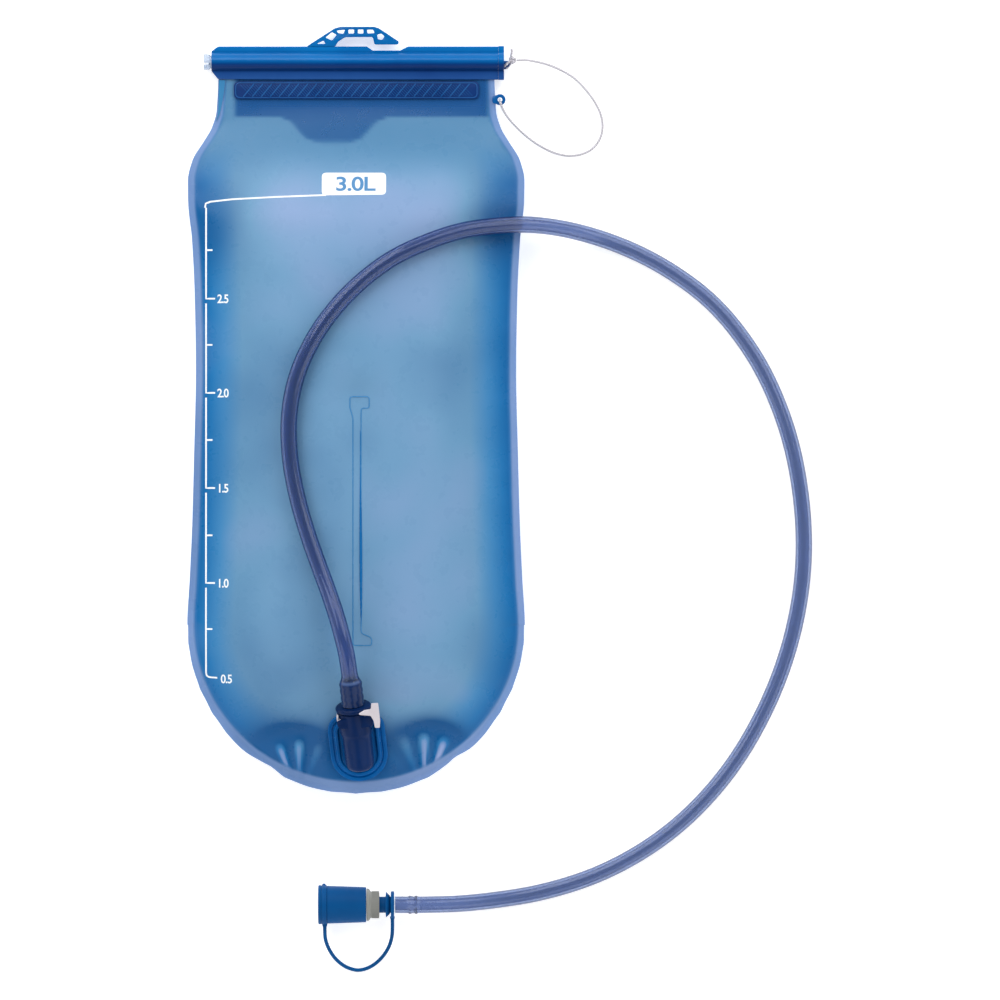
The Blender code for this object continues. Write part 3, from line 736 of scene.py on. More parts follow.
@dataclass(frozen=True)
class CordFinish:
    """Thin coated cord: pale grey, with the lay of its strands showing as fine slanted ridges and painted
    shade between them.
    """

    name: str
    colour: str
    strand_mm: float = 1.2

    def build(self) -> bpy.types.Material:
        """Make the material; the strands follow the cord's own UVs, a little coarser than real."""
        material, tree, shader = new_material(self.name)
        around = add_node(tree, "ShaderNodeUVMap", {"uv_map": "along_and_around"}).outputs["UV"]
        spread = add_node(
            tree, "ShaderNodeMapping", {"Scale": (1.0 / self.strand_mm, 3.0, 1.0)}, {"Vector": around}
        ).outputs["Vector"]
        ridges = add_node(
            tree, "ShaderNodeTexWave", {"bands_direction": "DIAGONAL", "Scale": 0.5}, {"Vector": spread}
        ).outputs["Fac"]
        # the darker grey between the strands is painted shade
        tint = colour_ramp(tree, ridges, [(0.0, "#8E8C94"), (0.6, self.colour)])
        tree.links.new(tint, shader.inputs["Base Color"])
        shader.inputs["Roughness"].default_value = 0.42
        add_bump(tree, shader, ridges, 0.08, 0.6)
        return material


@dataclass(frozen=True)
class SteelFinish:
    """Drawn stainless spring wire: bright metal with a fine satin."""

    name: str = "drawn_stainless_wire"

    def build(self) -> bpy.types.Material:
        """Make the material."""
        material, tree, shader = new_material(self.name)
        shader.inputs["Base Color"].default_value = linear("#C4C6C8")
        shader.inputs["Metallic"].default_value = 1.0
        tree.links.new(vary(tree, noise(tree, 0.5), 0.2, 0.4), shader.inputs["Roughness"])
        return material


class Finish(Enum):
    """The finishes that the pieces are dressed in."""

    FILM = FilmFinish("welded_polyurethane_film_with_painted_shade", (0.7, 0.74, 0.97, 0.82), 0.66)
    REAR_FILM = FilmFinish("welded_polyurethane_rear_film_with_painted_shade", (0.6, 0.6, 0.95, 0.85), 0.45)
    BEAD = PlasticFinish("film_weld_line", "#4C8DC0", "#3F84BA", 0.25)
    BEAD_PAINTED_SHADE = PlasticFinish("painted_weld_groove_shade", "#0F66A8", "#1069A8", 0.25)
    INK = PlasticFinish("screen_printed_white_ink", "#F4F7F8", "#ECF1F4", 0.5, 4.0)
    INK_GAP = PlasticFinish("film_between_the_ink", "#5B8FBE", "#5289BA", 0.4)
    GRIP = PlasticFinish("welded_stiff_strip", "#0A3370", "#072A62", 0.36)
    GRIP_RIB = PlasticFinish("raised_hatch", "#28609F", "#1F5492", 0.3)
    GRIP_FINE = PlasticFinish("fine_raised_hatch", "#225A99", "#1C5290", 0.34)
    FLAP = PlasticFinish("folded_dark_film", "#0C3C7C", "#08346F", 0.4, 12.0)
    SIDE_FOLD = PlasticFinish("doubled_neck_film", "#3B7FAF", "#2F73A4", 0.35, 12.0)
    CLOSURE = SlideFinish()
    LUG = PlasticFinish("blue_film_eyelet", "#0A5A9E", "#085090", 0.2, 8.0, 0.2)
    RAIL = ClearFinish("extruded_clear_rail", "#D3E0F2", 0.3, 0.12)
    PORT = PlasticFinish("clear_blue_moulding", "#005FA8", "#005294", 0.24, 8.0, 0.03, 0.008, 0.0, 0.12)
    SOCKET = PlasticFinish("dark_navy_moulding", "#06295C", "#041D47", 0.3, 8.0, 0.03, 0.008, 0.0, 0.08)
    LATCH = PlasticFinish("off_white_acetal", "#DDD6DB", "#CCC5CC", 0.38, 5.0)
    RUBBER = PlasticFinish("black_seal_rubber", "#1B1C1E", "#121315", 0.55)
    HOSE = TubeFinish()
    ELASTOMER = PlasticFinish("satin_blue_elastomer", "#01508C", "#01467E", 0.5, 7.0, 0.0, 0.02, 0.0, 0.1)
    GREY = PlasticFinish("grey_moulded_plastic", "#8F908C", "#858682", 0.45)
    SILICONE = PlasticFinish("pale_silicone", "#B8CBDD", "#A5BACF", 0.45, 6.0, 0.0, 0.01, 0.3)
    TETHER = CordFinish("coated_tether_cord_painted_strand_shade", "#D2CFD6")
    STEEL = SteelFinish()


class Wardrobe:
    """Builds each finish once and hands out its material."""

    def __init__(self) -> None:
        """Start with nothing built."""
        self.built: dict[Finish, bpy.types.Material] = {}

    def __getitem__(self, finish: Finish) -> bpy.types.Material:
        """The material for a finish."""
        if finish not in self.built:
            self.built[finish] = finish.value.build()
        return self.built[finish]


# ---- studio --------------------------------------------------------------------------------------


@dataclass
class Studio:
    """The camera straight above, a pale floor and soft light."""

    frame_width: float = 567.0
    view_centre: Pair = (81.6, -51.2)
    view_height: float = 20.0
    distance: float = 6000.0
    floor_size: float = 120.0  # metres, so that no low view reaches its edge

    def build(self) -> None:
        """Make the camera, floor and lights."""
        self.add_camera()
        self.add_floor()
        self.add_lights()

    def add_camera(self) -> None:
        """A long lens far above, as a flat product is shot."""
        data = bpy.data.cameras.new("camera")
        data.sensor_width = 36.0
        data.lens = data.sensor_width * self.distance / self.frame_width
        data.clip_end = 2.0 * self.floor_size
        camera = bpy.data.objects.new("camera", data)
        x, y = self.view_centre
        camera.location = (x * MM, y * MM, (self.distance + self.view_height) * MM)
        bpy.context.scene.collection.objects.link(camera)
        bpy.context.scene.camera = camera

    def add_floor(self) -> None:
        """A plain white sweep, which brightens away from the object as a backdrop does."""
        material, tree, shader = new_material("white_laminate")
        shader.inputs["Base Color"].default_value = linear("#F6F6F6")
        shader.inputs["Emission Color"].default_value = linear("#FFFFFF")
        where = add_node(tree, "ShaderNodeTexCoord").outputs["Object"]
        away = add_node(tree, "ShaderNodeVectorMath", {"operation": "LENGTH"}, {0: where}).outputs["Value"]
        settings = {"From Min": 1.5, "From Max": 3.0, "To Min": 0.5, "To Max": 1.0}
        glow = add_node(tree, "ShaderNodeMapRange", settings, {"Value": away}).outputs["Result"]
        tree.links.new(glow, shader.inputs["Emission Strength"])
        shader.inputs["Roughness"].default_value = 0.7
        shader.inputs["Specular IOR Level"].default_value = 0.2
        bm = bmesh.new()
        bmesh.ops.create_grid(bm, x_segments=1, y_segments=1, size=self.floor_size / 2)
        mesh = bpy.data.meshes.new("floor")
        bm.to_mesh(mesh)
        bm.free()
        mesh.materials.append(material)
        floor = bpy.data.objects.new("floor", mesh)
        bpy.context.scene.collection.objects.link(floor)

    def add_lights(self) -> None:
        """A surround that is bright at the sides and dim overhead, and a ring of four soft boxes."""
        scene = bpy.context.scene
        scene.view_settings.view_transform = "Standard"
        world = bpy.data.worlds.new("surround")
        world.use_nodes = True
        tree = world.node_tree
        heading = add_node(tree, "ShaderNodeTexCoord").outputs["Generated"]
        upward = add_node(tree, "ShaderNodeSeparateXYZ", links={"Vector": heading}).outputs["Z"]
        glow = colour_ramp(tree, upward, [(0.0, 0.8), (0.3, 0.8), (0.75, 0.25), (0.97, 0.08)])
        tree.links.new(glow, tree.nodes["Background"].inputs["Color"])
        scene.world = world
        self.add_soft_box("soft_box_top_left", (-1.0, 1.5, 1.6), 2.0, 34.0)
        self.add_soft_box("soft_box_top_right", (1.3, 1.4, 1.6), 2.0, 27.0)
        self.add_soft_box("soft_box_low_left", (-1.3, -1.4, 1.6), 2.0, 15.0)
        self.add_soft_box("soft_box_low_right", (1.4, -1.5, 1.6), 2.0, 15.0)

    def add_soft_box(self, name: str, place: Triple, size: float, power: float) -> None:
        """A square area light that faces the object.

        Args:
            name: the light's name.
            place: where it stands, in metres.
            size: its side, in metres.
            power: its power, in watts.
        """
        data = bpy.data.lights.new(name, "AREA")
        data.shape = "SQUARE"
        data.size = size
        data.energy = power
        light = bpy.data.objects.new(name, data)
        light.location = place
        aim = Vector((0.05, -0.03, 0.0)) - Vector(place)
        light.rotation_euler = aim.to_track_quat("-Z", "Y").to_euler()
        bpy.context.scene.collection.objects.link(light)


# ---- shared frames -------------------------------------------------------------------------------

PORT_PLACE = (1.45, -190.7, 32.2)
PORT_TILT = 20.0  # degrees: the port follows the slope of the film
PORT_TURN = 6.5
PORT_AXIS_HEIGHT = 9.3
PORT_FRAME = (
    Matrix.Translation(Vector(PORT_PLACE) * MM)
    @ Matrix.Rotation(math.radians(PORT_TURN), 4, "Z")
    @ Matrix.Rotation(math.radians(PORT_TILT), 4, "X")
)
INTO_PORT = PORT_FRAME.inverted()
PORT_AXIS = PORT_FRAME @ Matrix.Translation((0.0, 0.0, PORT_AXIS_HEIGHT * MM))
VALVE_PLACE = (0.0, -281.0, 11.3)
VALVE_FRAME = Matrix.Translation(Vector(VALVE_PLACE) * MM) @ Matrix.Rotation(math.radians(-90.0), 4, "Z")


# ---- drinking hose, tether and strap -------------------------------------------------------------


@dataclass
class DrinkingHose:
    """The clear tinted hose from the port's plug to the bite valve."""

    diameter: float = 9.5
    wall: float = 1.6
    spacing: float = 1.2
    barb_reach: float = 14.4  # how far the hose is pushed over the plug's barb
    barb_radius: float = 6.3
    ridge_pitch: float = 4.2
    bead_places: tuple[float, ...] = (30.8, 33.9)
    bead_rise: float = 0.7
    end_pieces: tuple[str, ...] = ("hose_shank", "leash_ring")
    route: tuple[Triple, ...] = (
        (-2.9, -152.1, 56.3), (-3.5, -147.2, 58.0), (-4.9, -138.0, 60.0), (-7.3, -128.0, 60.2),
        (-10.4, -117.0, 57.9), (-14.4, -105.0, 54.4), (-20.3, -89.0, 50.6), (-27.0, -70.0, 48.6),
        (-33.2, -48.0, 47.0), (-37.0, -26.0, 46.2), (-37.4, -4.0, 46.1), (-33.6, 17.0, 46.9),
        (-24.6, 38.0, 48.5), (-11.0, 57.6, 49.1), (4.0, 72.8, 48.1), (21.0, 85.3, 45.6),
        (40.0, 94.4, 41.7), (60.0, 101.0, 36.8), (80.0, 104.0, 31.4), (96.0, 104.8, 26.2),
        (110.0, 103.8, 19.0), (123.0, 101.6, 12.2), (136.0, 98.2, 7.4), (150.0, 93.3, 5.3),
        (166.0, 86.0, 4.9), (182.8, 76.0, 4.9), (198.6, 64.0, 4.9), (225.7, 31.3, 4.9), (243.6, -7.7, 4.9),
        (252.7, -49.8, 4.9), (253.8, -91.4, 4.9), (246.1, -134.0, 4.9), (230.9, -173.1, 4.9),
        (208.3, -209.3, 4.9), (178.7, -239.3, 4.9), (142.7, -261.5, 4.9), (103.4, -274.5, 4.9),
        (80.0, -278.4, 5.7), (60.0, -280.4, 8.0), (41.0, -281.0, 10.4), (22.0, -281.0, 11.3),
    )

    def build(self, finishes: Wardrobe) -> None:
        """Make the hose.

        Args:
            finishes: where the materials come from.
        """
        start = PORT_AXIS @ Vector((0.0, 29.5 * MM, 0.0)) / MM
        sleeve = [start.lerp(Vector(self.route[0]), i / 12) for i in range(12)]
        points = sleeve + smooth_route(self.route, self.spacing)
        radii = [self.radius_at(points, i, start) for i in range(len(points))]
        shape = swept(points, radii, 26, self.wall)
        hose = add_piece("tinted_hose", shape, finishes[Finish.HOSE], "drink_line")
        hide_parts("drinking_hose")
        self.hose, self.points = hose, points

    def declare(self) -> None:
        """Work out the hose's start, length and points in metres, and look up the pieces on its far end, once
        they are made; nothing is kept.
        """
        tuple(self.points[0] * MM)
        round(route_length(self.points) * MM, 4)
        [tuple(point * MM) for point in self.points]
        [bpy.data.objects[name] for name in self.end_pieces]

    def radius_at(self, points: Sequence[Vector], i: int, start: Vector) -> float:
        """The hose's outer radius: swollen over the plug's barb, and beaded over the valve's barb."""
        plain = self.diameter / 2
        along = (points[i] - start).length
        if along < self.barb_reach + 6.0:
            ridge = 0.3 * math.cos(math.pi * along / self.ridge_pitch) ** 2
            swell = 1.0 - smoothstep(self.barb_reach - 2.0, self.barb_reach + 3.0, along)
            return plain + (self.barb_radius - plain + ridge) * swell
        if points[i].x < 45.0 and points[i].y < -270.0:
            bump = sum(math.exp(-(((points[i].x - place) / 0.75) ** 4)) for place in self.bead_places)
            return plain + self.bead_rise * min(1.0, bump)
        return plain


@dataclass
class Tether:
    """The thin cord that keeps the slide bar on the bladder, with its knot at the bar's end."""

    diameter: float = 1.4
    route: tuple[Triple, ...] = (
        (91.4, 198.7, 5.6), (96.0, 198.9, 4.0), (101.5, 198.2, 2.2), (108.3, 196.6, 1.0),
        (115.9, 193.5, 0.8), (123.5, 189.0, 0.8), (131.0, 181.4, 0.8), (136.0, 174.3, 0.8),
        (139.0, 167.7, 0.8), (139.9, 160.7, 0.8), (138.6, 154.7, 0.8), (134.6, 149.0, 0.8),
        (128.5, 145.7, 0.8), (120.9, 144.6, 0.8), (113.3, 146.0, 0.8), (105.7, 149.5, 0.8),
        (98.0, 154.6, 1.2), (90.6, 161.2, 3.2), (86.4, 165.8, 5.6), (83.2, 170.9, 8.6),
    )
    into_lug: tuple[Triple, ...] = ((82.1, 173.6, 10.3), (81.5, 176.0, 9.6), (81.4, 176.2, 6.2))
    knot_centre: Triple = (88.6, 198.7, 5.9)

    def build(self, finishes: Wardrobe) -> None:
        """Args:
            finishes: where the materials come from.
        """
        material = finishes[Finish.TETHER]
        points = smooth_route((*self.route, *self.into_lug), 0.8)
        radii = [self.diameter / 2] * len(points)
        cord = add_piece("tether_line", swept(points, radii, 12), material, None)
        knot = add_piece("tether_overhand_knot", self.knot_shape(), material, "slider")
        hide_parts("tether_cord")
        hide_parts("tether_knot")
        tuple(Vector(self.route[0]) * MM)
        round(route_length(points) * MM, 4)
        [tuple(point * MM) for point in points]
        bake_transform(cord)

    def knot_shape(self) -> bmesh.types.BMesh:
        """An overhand knot pulled tight, its tail, and the short loop through the bar's end lug."""
        centre = Vector(self.knot_centre)
        loops: list[Vector] = []
        for i in range(73):
            turn = math.tau * i / 72
            reach = 1.25 + 0.55 * math.cos(3 * turn)
            loops.append(centre + Vector((
                reach * math.cos(2 * turn) * 0.95,
                reach * math.sin(2 * turn),
                0.85 * math.sin(3 * turn),
            )))
        tail = smooth_route(
            [tuple(centre), (88.0, 201.0, 7.2), (88.3, 203.6, 8.0), (88.1, 205.2, 8.3)], 0.7
        )
        leg = smooth_route(
            [tuple(centre), (86.6, 197.6, 6.6), (85.0, 196.2, 7.1), (84.2, 194.9, 6.4), (85.2, 194.2, 5.2),
             (86.8, 195.8, 5.0), tuple(centre)], 0.6
        )
        radius = self.diameter / 2
        return merged([swept(path, [radius] * len(path), 10) for path in (loops, tail, leg)])


@dataclass
class CoverStrap:
    """The moulded strap that holds the valve's cover to the hose."""

    diameter: float = 2.1
    route: tuple[Triple, ...] = (
        (-17.9, -292.8, 11.0), (-17.9, -296.0, 10.2), (-17.6, -300.5, 7.4), (-15.6, -306.5, 3.8),
        (-11.4, -312.6, 1.8), (-5.8, -316.8, 1.4), (1.1, -318.6, 1.3), (8.0, -316.6, 1.4),
        (13.8, -312.0, 1.8), (18.2, -305.6, 3.8), (20.2, -299.0, 7.2), (20.5, -293.6, 10.2),
        (20.5, -289.4, 11.2),
    )

    def build(self, finishes: Wardrobe) -> None:
        """Args:
            finishes: where the materials come from.
        """
        cover_end, ring_end = (-17.9, -291.6, 11.2), (20.5, -288.2, 11.2)
        points = smooth_route((cover_end, *self.route, ring_end), 1.0)
        radii = [self.diameter / 2] * len(points)
        strap = add_piece(
            "cover_leash", swept(points, radii, 14), finishes[Finish.ELASTOMER], None
        )
        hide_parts("cover_strap")
        tuple(points[-1] * MM)
        round(route_length(points) * MM, 4)
        [tuple(point * MM) for point in reversed(points)]
        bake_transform(strap)


# ---- bladder -------------------------------------------------------------------------------------


@dataclass
class BladderShape:
    """The outline of the two films and how high each stands."""

    weld_width: float = 3.5
    cap_centre: float = -122.0
    cap_radius: float = 95.7
    front_rise: float = 24.0
    rear_drop: float = 32.0
    baffle_x: float = 0.8
    baffle_y: Pair = (-130.0, 4.0)
    baffle_dip: float = 5.0
    baffle_width: float = 15.0
    top: float = 193.4
    cad_film: float = 0.7
    pucker_roots: tuple[Pair, Pair] = ((-32.0, -221.0), (38.5, -218.0))
    pucker_depth: float = 0.8
    pucker_pitch: float = 21.0  # degrees between the folds of a fan
    dents: Pair = (-32.3, 36.1)  # degrees round the bladder's end
    side: SmoothTable = field(default_factory=lambda: SmoothTable([
        (-122.0, 95.7), (-96.0, 94.3), (-62.0, 92.8), (-28.0, 91.9), (22.0, 90.8), (62.0, 91.4),
        (96.0, 93.0), (118.0, 95.3), (130.0, 95.5), (141.5, 93.0), (153.0, 86.2), (160.0, 82.2),
        (170.0, 79.4), (193.4, 78.4),
    ]))
    weld: SmoothTable = field(default_factory=lambda: SmoothTable([
        (-218.0, 20.0), (80.0, 20.0), (105.0, 19.2), (130.0, 15.5), (150.0, 10.5), (165.0, 7.3),
        (178.0, 6.3), (193.4, 6.3),
    ]))
    front_full: SmoothTable = field(default_factory=lambda: SmoothTable([
        (-218.0, 1.0), (40.0, 1.0), (75.0, 0.9), (105.0, 0.72), (130.0, 0.48), (150.0, 0.24),
        (165.0, 0.06), (174.0, 0.0), (193.4, 0.0),
    ]))
    rear_full: SmoothTable = field(default_factory=lambda: SmoothTable([
        (-218.0, 1.0), (40.0, 1.0), (75.0, 0.88), (105.0, 0.65), (130.0, 0.38), (150.0, 0.12),
        (163.0, 0.0), (193.4, 0.0),
    ]))

    def inset(self, x: float, y: float) -> float:
        """How far a point is in from the inner edge of the weld; negative on the weld itself."""
        if y < self.cap_centre:
            return self.cap_radius - self.weld_width - math.hypot(x, y - self.cap_centre)
        return self.side(y) - self.weld_width - abs(x)

    def roundness(self, x: float, y: float) -> float:
        """1 on the middle line, 0 at the weld and beyond."""
        if y < self.cap_centre:
            reach = self.cap_radius - self.weld_width
            share = (x * x + (y - self.cap_centre) ** 2) / reach**2
        else:
            share = (x / (self.side(y) - self.weld_width)) ** 2
        return max(0.0, 1.0 - share)

    def front(self, x: float, y: float) -> float:
        """Upper side of the front film."""
        round_share = self.roundness(x, y)
        past = max(0.0, self.baffle_y[0] - y, y - self.baffle_y[1])
        pull = self.baffle_dip * math.exp(-(((x - self.baffle_x) ** 2 + past**2) / self.baffle_width**2))
        rise = self.front_rise * round_share * self.front_full(y) - pull * round_share
        plain = self.weld(y) + GAP / 2 + rise + self.cad_film
        plain += self.puckers(x, y) + self.ripples(x, y)
        return self.flat_under_port(x, y, plain)

    def rear(self, x: float, y: float) -> float:
        """Under side of the rear film, flat where it lies on the surface."""
        drop = self.rear_drop * self.roundness(x, y) * self.rear_full(y)
        height = self.weld(y) - GAP / 2 - self.cad_film - drop
        if height < 3.0:
            height = (
                0.02 + 3.0 * math.exp((height - 3.0) / 3.0) - 3.0 * math.exp(-20.0)
                if height > -60.0 else 0.02
            )
        return max(0.02, height + 0.4 * self.ripples(x, y))

    def fan(self, x: float, y: float) -> Pair:
        """How strongly the folds that fan in from a lower corner show at a point.

        Args:
            x: the point's place across.
            y: and along.

        Returns:
            The fold, from -1 in a valley to 1 on a ridge, and the hollow beyond the folds, 0 to 1.
        """
        fold = hollow = 0.0
        for root_x, root_y in self.pucker_roots:
            outward = math.copysign(1.0, root_x)
            across, along = (x - root_x) * outward, y - root_y
            reach = math.hypot(across, along)
            if reach > 62.0:
                continue
            angle = math.degrees(math.atan2(across, along))
            window = math.exp(-(((angle - 14.0) / 30.0) ** 2))
            rise = smoothstep(6.0, 14.0, reach) * (1.0 - smoothstep(29.0, 38.0, reach))
            fold += (0.35 + 0.65 * math.cos(math.tau * angle / self.pucker_pitch)) * window * rise
            hollow += math.exp(-(((reach - 38.5) / 6.0) ** 2)) * math.exp(-(((angle - 12.0) / 32.0) ** 2))
        return fold, hollow

    def puckers(self, x: float, y: float) -> float:
        """How far the corner folds lift the film."""
        if y > self.cap_centre:
            return 0.0
        fold, hollow = self.fan(x, y)
        return (self.pucker_depth * fold - 1.9 * hollow) * smoothstep(-1.0, 4.0, self.inset(x, y))

    def tone(self, x: float, y: float) -> float:
        """Painted highlight, above 0, and painted shade, below 0, on the film: paler on the fold ridges and
        in a band across the upper body, deeper in the fold valleys, in the hollow beyond them, towards the
        bottom middle, at the lower right and at the shoulders.
        """
        fold, hollow = self.fan(x, y) if y < self.cap_centre else (0.0, 0.0)
        total = 0.95 * max(0.0, fold) ** 0.8 - 0.6 * max(0.0, -fold) - 0.95 * hollow
        low = smoothstep(-160.0, -196.0, y) if y < -160.0 else 0.0
        total -= 1.1 * low * (1.0 - smoothstep(40.0, 80.0, abs(x))) * (1.0 - min(1.0, abs(fold)))
        total -= 0.35 * smoothstep(58.0, 90.0, x) * smoothstep(-190.0, -150.0, y)
        shoulder = math.exp(-(((abs(x) - 84.0) / 20.0) ** 2) - ((y - 104.0) / 24.0) ** 2)
        total -= 0.75 * shoulder
        total += 0.3 * math.exp(-(((y - 114.0) / 17.0) ** 2)) * (1.0 - smoothstep(40.0, 75.0, abs(x)))
        return total * smoothstep(-1.5, 1.5, self.shown_inset(x, y))

    def neck_share(self, x: float, y: float) -> float:
        """1 in the neck, 0 in the body and on the weld."""
        return smoothstep(126.0, 156.0, y) * smoothstep(-0.5, 2.0, self.inset(x, y))

    def shown_inset(self, x: float, y: float) -> float:
        """The inset that the colour follows: the fused rim looks wider round the end."""
        extra = 0.8
        if y < self.cap_centre:
            reach = max(1.0, math.hypot(x, y - self.cap_centre))
            extra += 3.2 * ((self.cap_centre - y) / reach) ** 2
        return self.inset(x, y) - extra

    def ripples(self, x: float, y: float) -> float:
        """Small waves that run in from the weld, where the flat rim has to gather."""
        depth = self.inset(x, y)
        if depth > 30.0 or y > 180.0:
            return 0.0
        run = y if y > self.cap_centre else self.cap_centre - 1.6 * abs(math.degrees(math.atan2(x, 1.0)))
        if y <= self.cap_centre:
            run = 1.65 * math.degrees(math.atan2(x, self.cap_centre - y))
        side = 1.0 if x > 0 else 2.3
        wave = math.sin(run / 3.1 + side) + 0.7 * math.sin(run / 5.3 + 2.0 * side) + 0.5 * math.sin(run / 2.2)
        shoulder = 1.0 + 1.6 * math.exp(-(((y - 140.0) / 18.0) ** 2))
        return 0.16 * wave * shoulder * smoothstep(-1.0, 3.0, depth) * math.exp(-max(0.0, depth - 3.0) / 6.0)

    def flat_under_port(self, x: float, y: float, plain: float) -> float:
        """Lay the film flat against the port's base where that is welded on."""
        local = INTO_PORT @ (Vector((x, y, plain)) * MM) / MM
        past = max(0.0, abs(local.y) - 4.25)
        away = math.hypot(local.x, past)
        if away > 40.0:
            return plain
        hold = 1.0 - smoothstep(16.5, 30.0, away)
        flat = Vector((local.x, local.y, -0.25))
        return plain + (plain_height(PORT_FRAME, flat) - plain) * hold


def plain_height(place: Matrix, local: Vector) -> float:
    """Height, in millimetres, of a point given in a local frame."""
    return (place @ (local * MM)).z / MM


@dataclass
class FlapShape:
    """The outline of the mouth's flap, folded over to the back, with its pull tab."""

    low: float = 151.6
    high: float = 193.3
    left: SmoothTable = field(default_factory=lambda: SmoothTable([
        (151.6, -20.0), (153.0, -26.5), (156.0, -30.5), (160.0, -34.0), (163.5, -37.0), (166.2, -44.0),
        (167.4, -69.0),
    ]))
    right: SmoothTable = field(default_factory=lambda: SmoothTable([
        (151.6, -5.0), (153.0, 1.0), (156.0, 4.4), (160.0, 8.0), (163.5, 11.5), (166.2, 19.0),
        (167.4, 75.0),
    ]))

    def share(self, x: float, y: float) -> float:
        """1 where the flap lies behind a point, with a soft edge as seen through two films."""
        if y < self.low - 3.0:
            return 0.0
        side = min(x - self.left(y), self.right(y) - x)
        across = smoothstep(-2.5, 2.5, side)
        below = smoothstep(self.low - 2.0, self.low + 2.5, y)
        fade = 0.8 + 0.2 * smoothstep(160.0, 176.0, y)
        return across * below * fade


@dataclass
class Bladder:
    """The welded film reservoir with the baffle's weld line."""

    shape: BladderShape
    flap: FlapShape
    film: float = 0.4
    columns: int = 172
    row_step: float = 1.85
    cap_rows: int = 64

    def build(self, finishes: Wardrobe) -> None:
        """Make the films and the baffle's weld line on them.

        Args:
            finishes: where the materials come from.
        """
        shape = self.shape
        front = self.panel("front_film", shape.front, -self.film, finishes[Finish.FILM])
        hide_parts("front_panel")
        rear = self.panel("rear_film", shape.rear, self.film, finishes[Finish.REAR_FILM])
        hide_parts("rear_panel")
        self.baffle_line(finishes)

    def panel(self, name: str, height: Callable[[float, float], float], thickness: float, material):
        """One film: a fine grid over the outline, thickened.

        Args:
            name: the piece's name.
            height: its outer side's height at x, y.
            thickness: how far its inner side is above the outer one.
            material: its finish.

        Returns:
            The piece.
        """
        shape = self.shape
        bm = bmesh.new()
        inset_layer, painted_light_and_shade_layer, neck_layer, backed_layer = (
            bm.verts.layers.float.new(name) for name in ("inset_mm", "tone", "neck", "backed")
        )
        angles = [math.pi * (i / self.columns - 0.5) for i in range(self.columns + 1)]

        def vertex(x: float, y: float) -> bmesh.types.BMVert:
            """A grid point with what the finish reads."""
            vert = bm.verts.new((x * MM, y * MM, height(x, y) * MM))
            vert[inset_layer] = shape.shown_inset(x, y)
            # painted highlight and painted shade for the film's colour
            vert[painted_light_and_shade_layer] = shape.tone(x, y)
            vert[neck_layer] = shape.neck_share(x, y)
            vert[backed_layer] = self.flap.share(x, y)
            return vert

        rows = []
        count = round((shape.top - shape.cap_centre) / self.row_step)
        rim_shares = (1.0, 0.5)
        for j in range(count + 1):
            y = shape.top + (shape.cap_centre - shape.top) * j / count
            edge = shape.side(y)
            inner = edge - shape.weld_width
            rims = [edge - shape.weld_width * (1 - share) for share in rim_shares]
            left = [vertex(-rim, y) for rim in rims]
            middle = [vertex(inner * math.sin(a), y) for a in angles]
            rows.append(left + middle + [vertex(rim, y) for rim in reversed(rims)])
        for upper, lower in zip(rows, rows[1:]):
            for i in range(len(upper) - 1):
                bm.faces.new((upper[i], upper[i + 1], lower[i + 1], lower[i]))
        above = rows[-1][2:-2]
        reach = shape.cap_radius - shape.weld_width
        distances = [reach * math.sin(math.pi / 2 * (k + 1) / self.cap_rows) for k in range(self.cap_rows)]
        flat_rows = [(d, 1.0) for d in distances]
        for distance, _ in flat_rows:
            row = [vertex(reach * math.sin(a), shape.cap_centre - distance * math.cos(a)) for a in angles]
            for i in range(self.columns):
                bm.faces.new((above[i], above[i + 1], row[i + 1], row[i]))
            above = row
        for share in (0.5, 1.0):
            row = []
            for a in angles:
                radius = self.rim_radius(math.degrees(a), share)
                row.append(vertex(radius * math.sin(a), shape.cap_centre - radius * math.cos(a)))
            for i in range(self.columns):
                bm.faces.new((above[i], above[i + 1], row[i + 1], row[i]))
            above = row
        bmesh.ops.remove_doubles(bm, verts=bm.verts, dist=1e-6)
        raised = bmesh.ops.extrude_face_region(bm, geom=bm.faces[:])
        lifted = [item for item in raised["geom"] if isinstance(item, bmesh.types.BMVert)]
        bmesh.ops.translate(bm, verts=lifted, vec=(0.0, 0.0, thickness * MM))
        return add_piece(name, bm, material, "bag", 60.0)

    def rim_radius(self, angle: float, share: float) -> float:
        """Radius of the weld's rim on the round end, drawn in a little at the puckers."""
        shape = self.shape
        dent = sum(math.exp(-(((angle - place) / 5.0) ** 2)) for place in shape.dents)
        wave = 0.25 * math.sin(angle / 3.7) + 0.2 * math.sin(angle / 2.1)
        return shape.cap_radius - shape.weld_width * (1 - share) - (1.7 * dent + abs(wave)) * share

    def baffle_line(self, finishes: Wardrobe) -> None:
        """The raised line of the inner baffle's weld, a long narrow loop, and a dark strip along its right
        side that is painted shade in the groove there.
        """
        low, high = self.shape.baffle_y
        outline = fillet([
            (-3.2, high + 3.2), (-3.2, high - 3.0), (-1.5, high - 9.0), (-1.5, low - 3.4), (9.1, low - 3.4),
            (9.1, low + 1.0), (3.1, low + 3.6), (3.1, high - 3.3), (7.7, high - 3.3), (7.7, high + 3.2),
        ], 1.6)
        path = drape_points(outline + [outline[0]], self.shape.front, 2.0, 0.06)
        bead = swept(path, [0.3] * len(path), 8)
        add_piece("baffle_weld_line", bead, finishes[Finish.BEAD], "bag")
        # A dark strip of painted shade, for the shade in the groove on the weld line's right side.
        path = drape_points([(2.6, high - 16.0), (3.2, low + 6.0)], self.shape.front, 2.0, 0.05)
        thick = [0.15 + 0.65 * math.sin(math.pi * (i / (len(path) - 1)) ** 1.6) for i in range(len(path))]
        groove = swept(path, thick, 8)
        add_piece("baffle_weld_groove", groove, finishes[Finish.BEAD_PAINTED_SHADE], "bag")


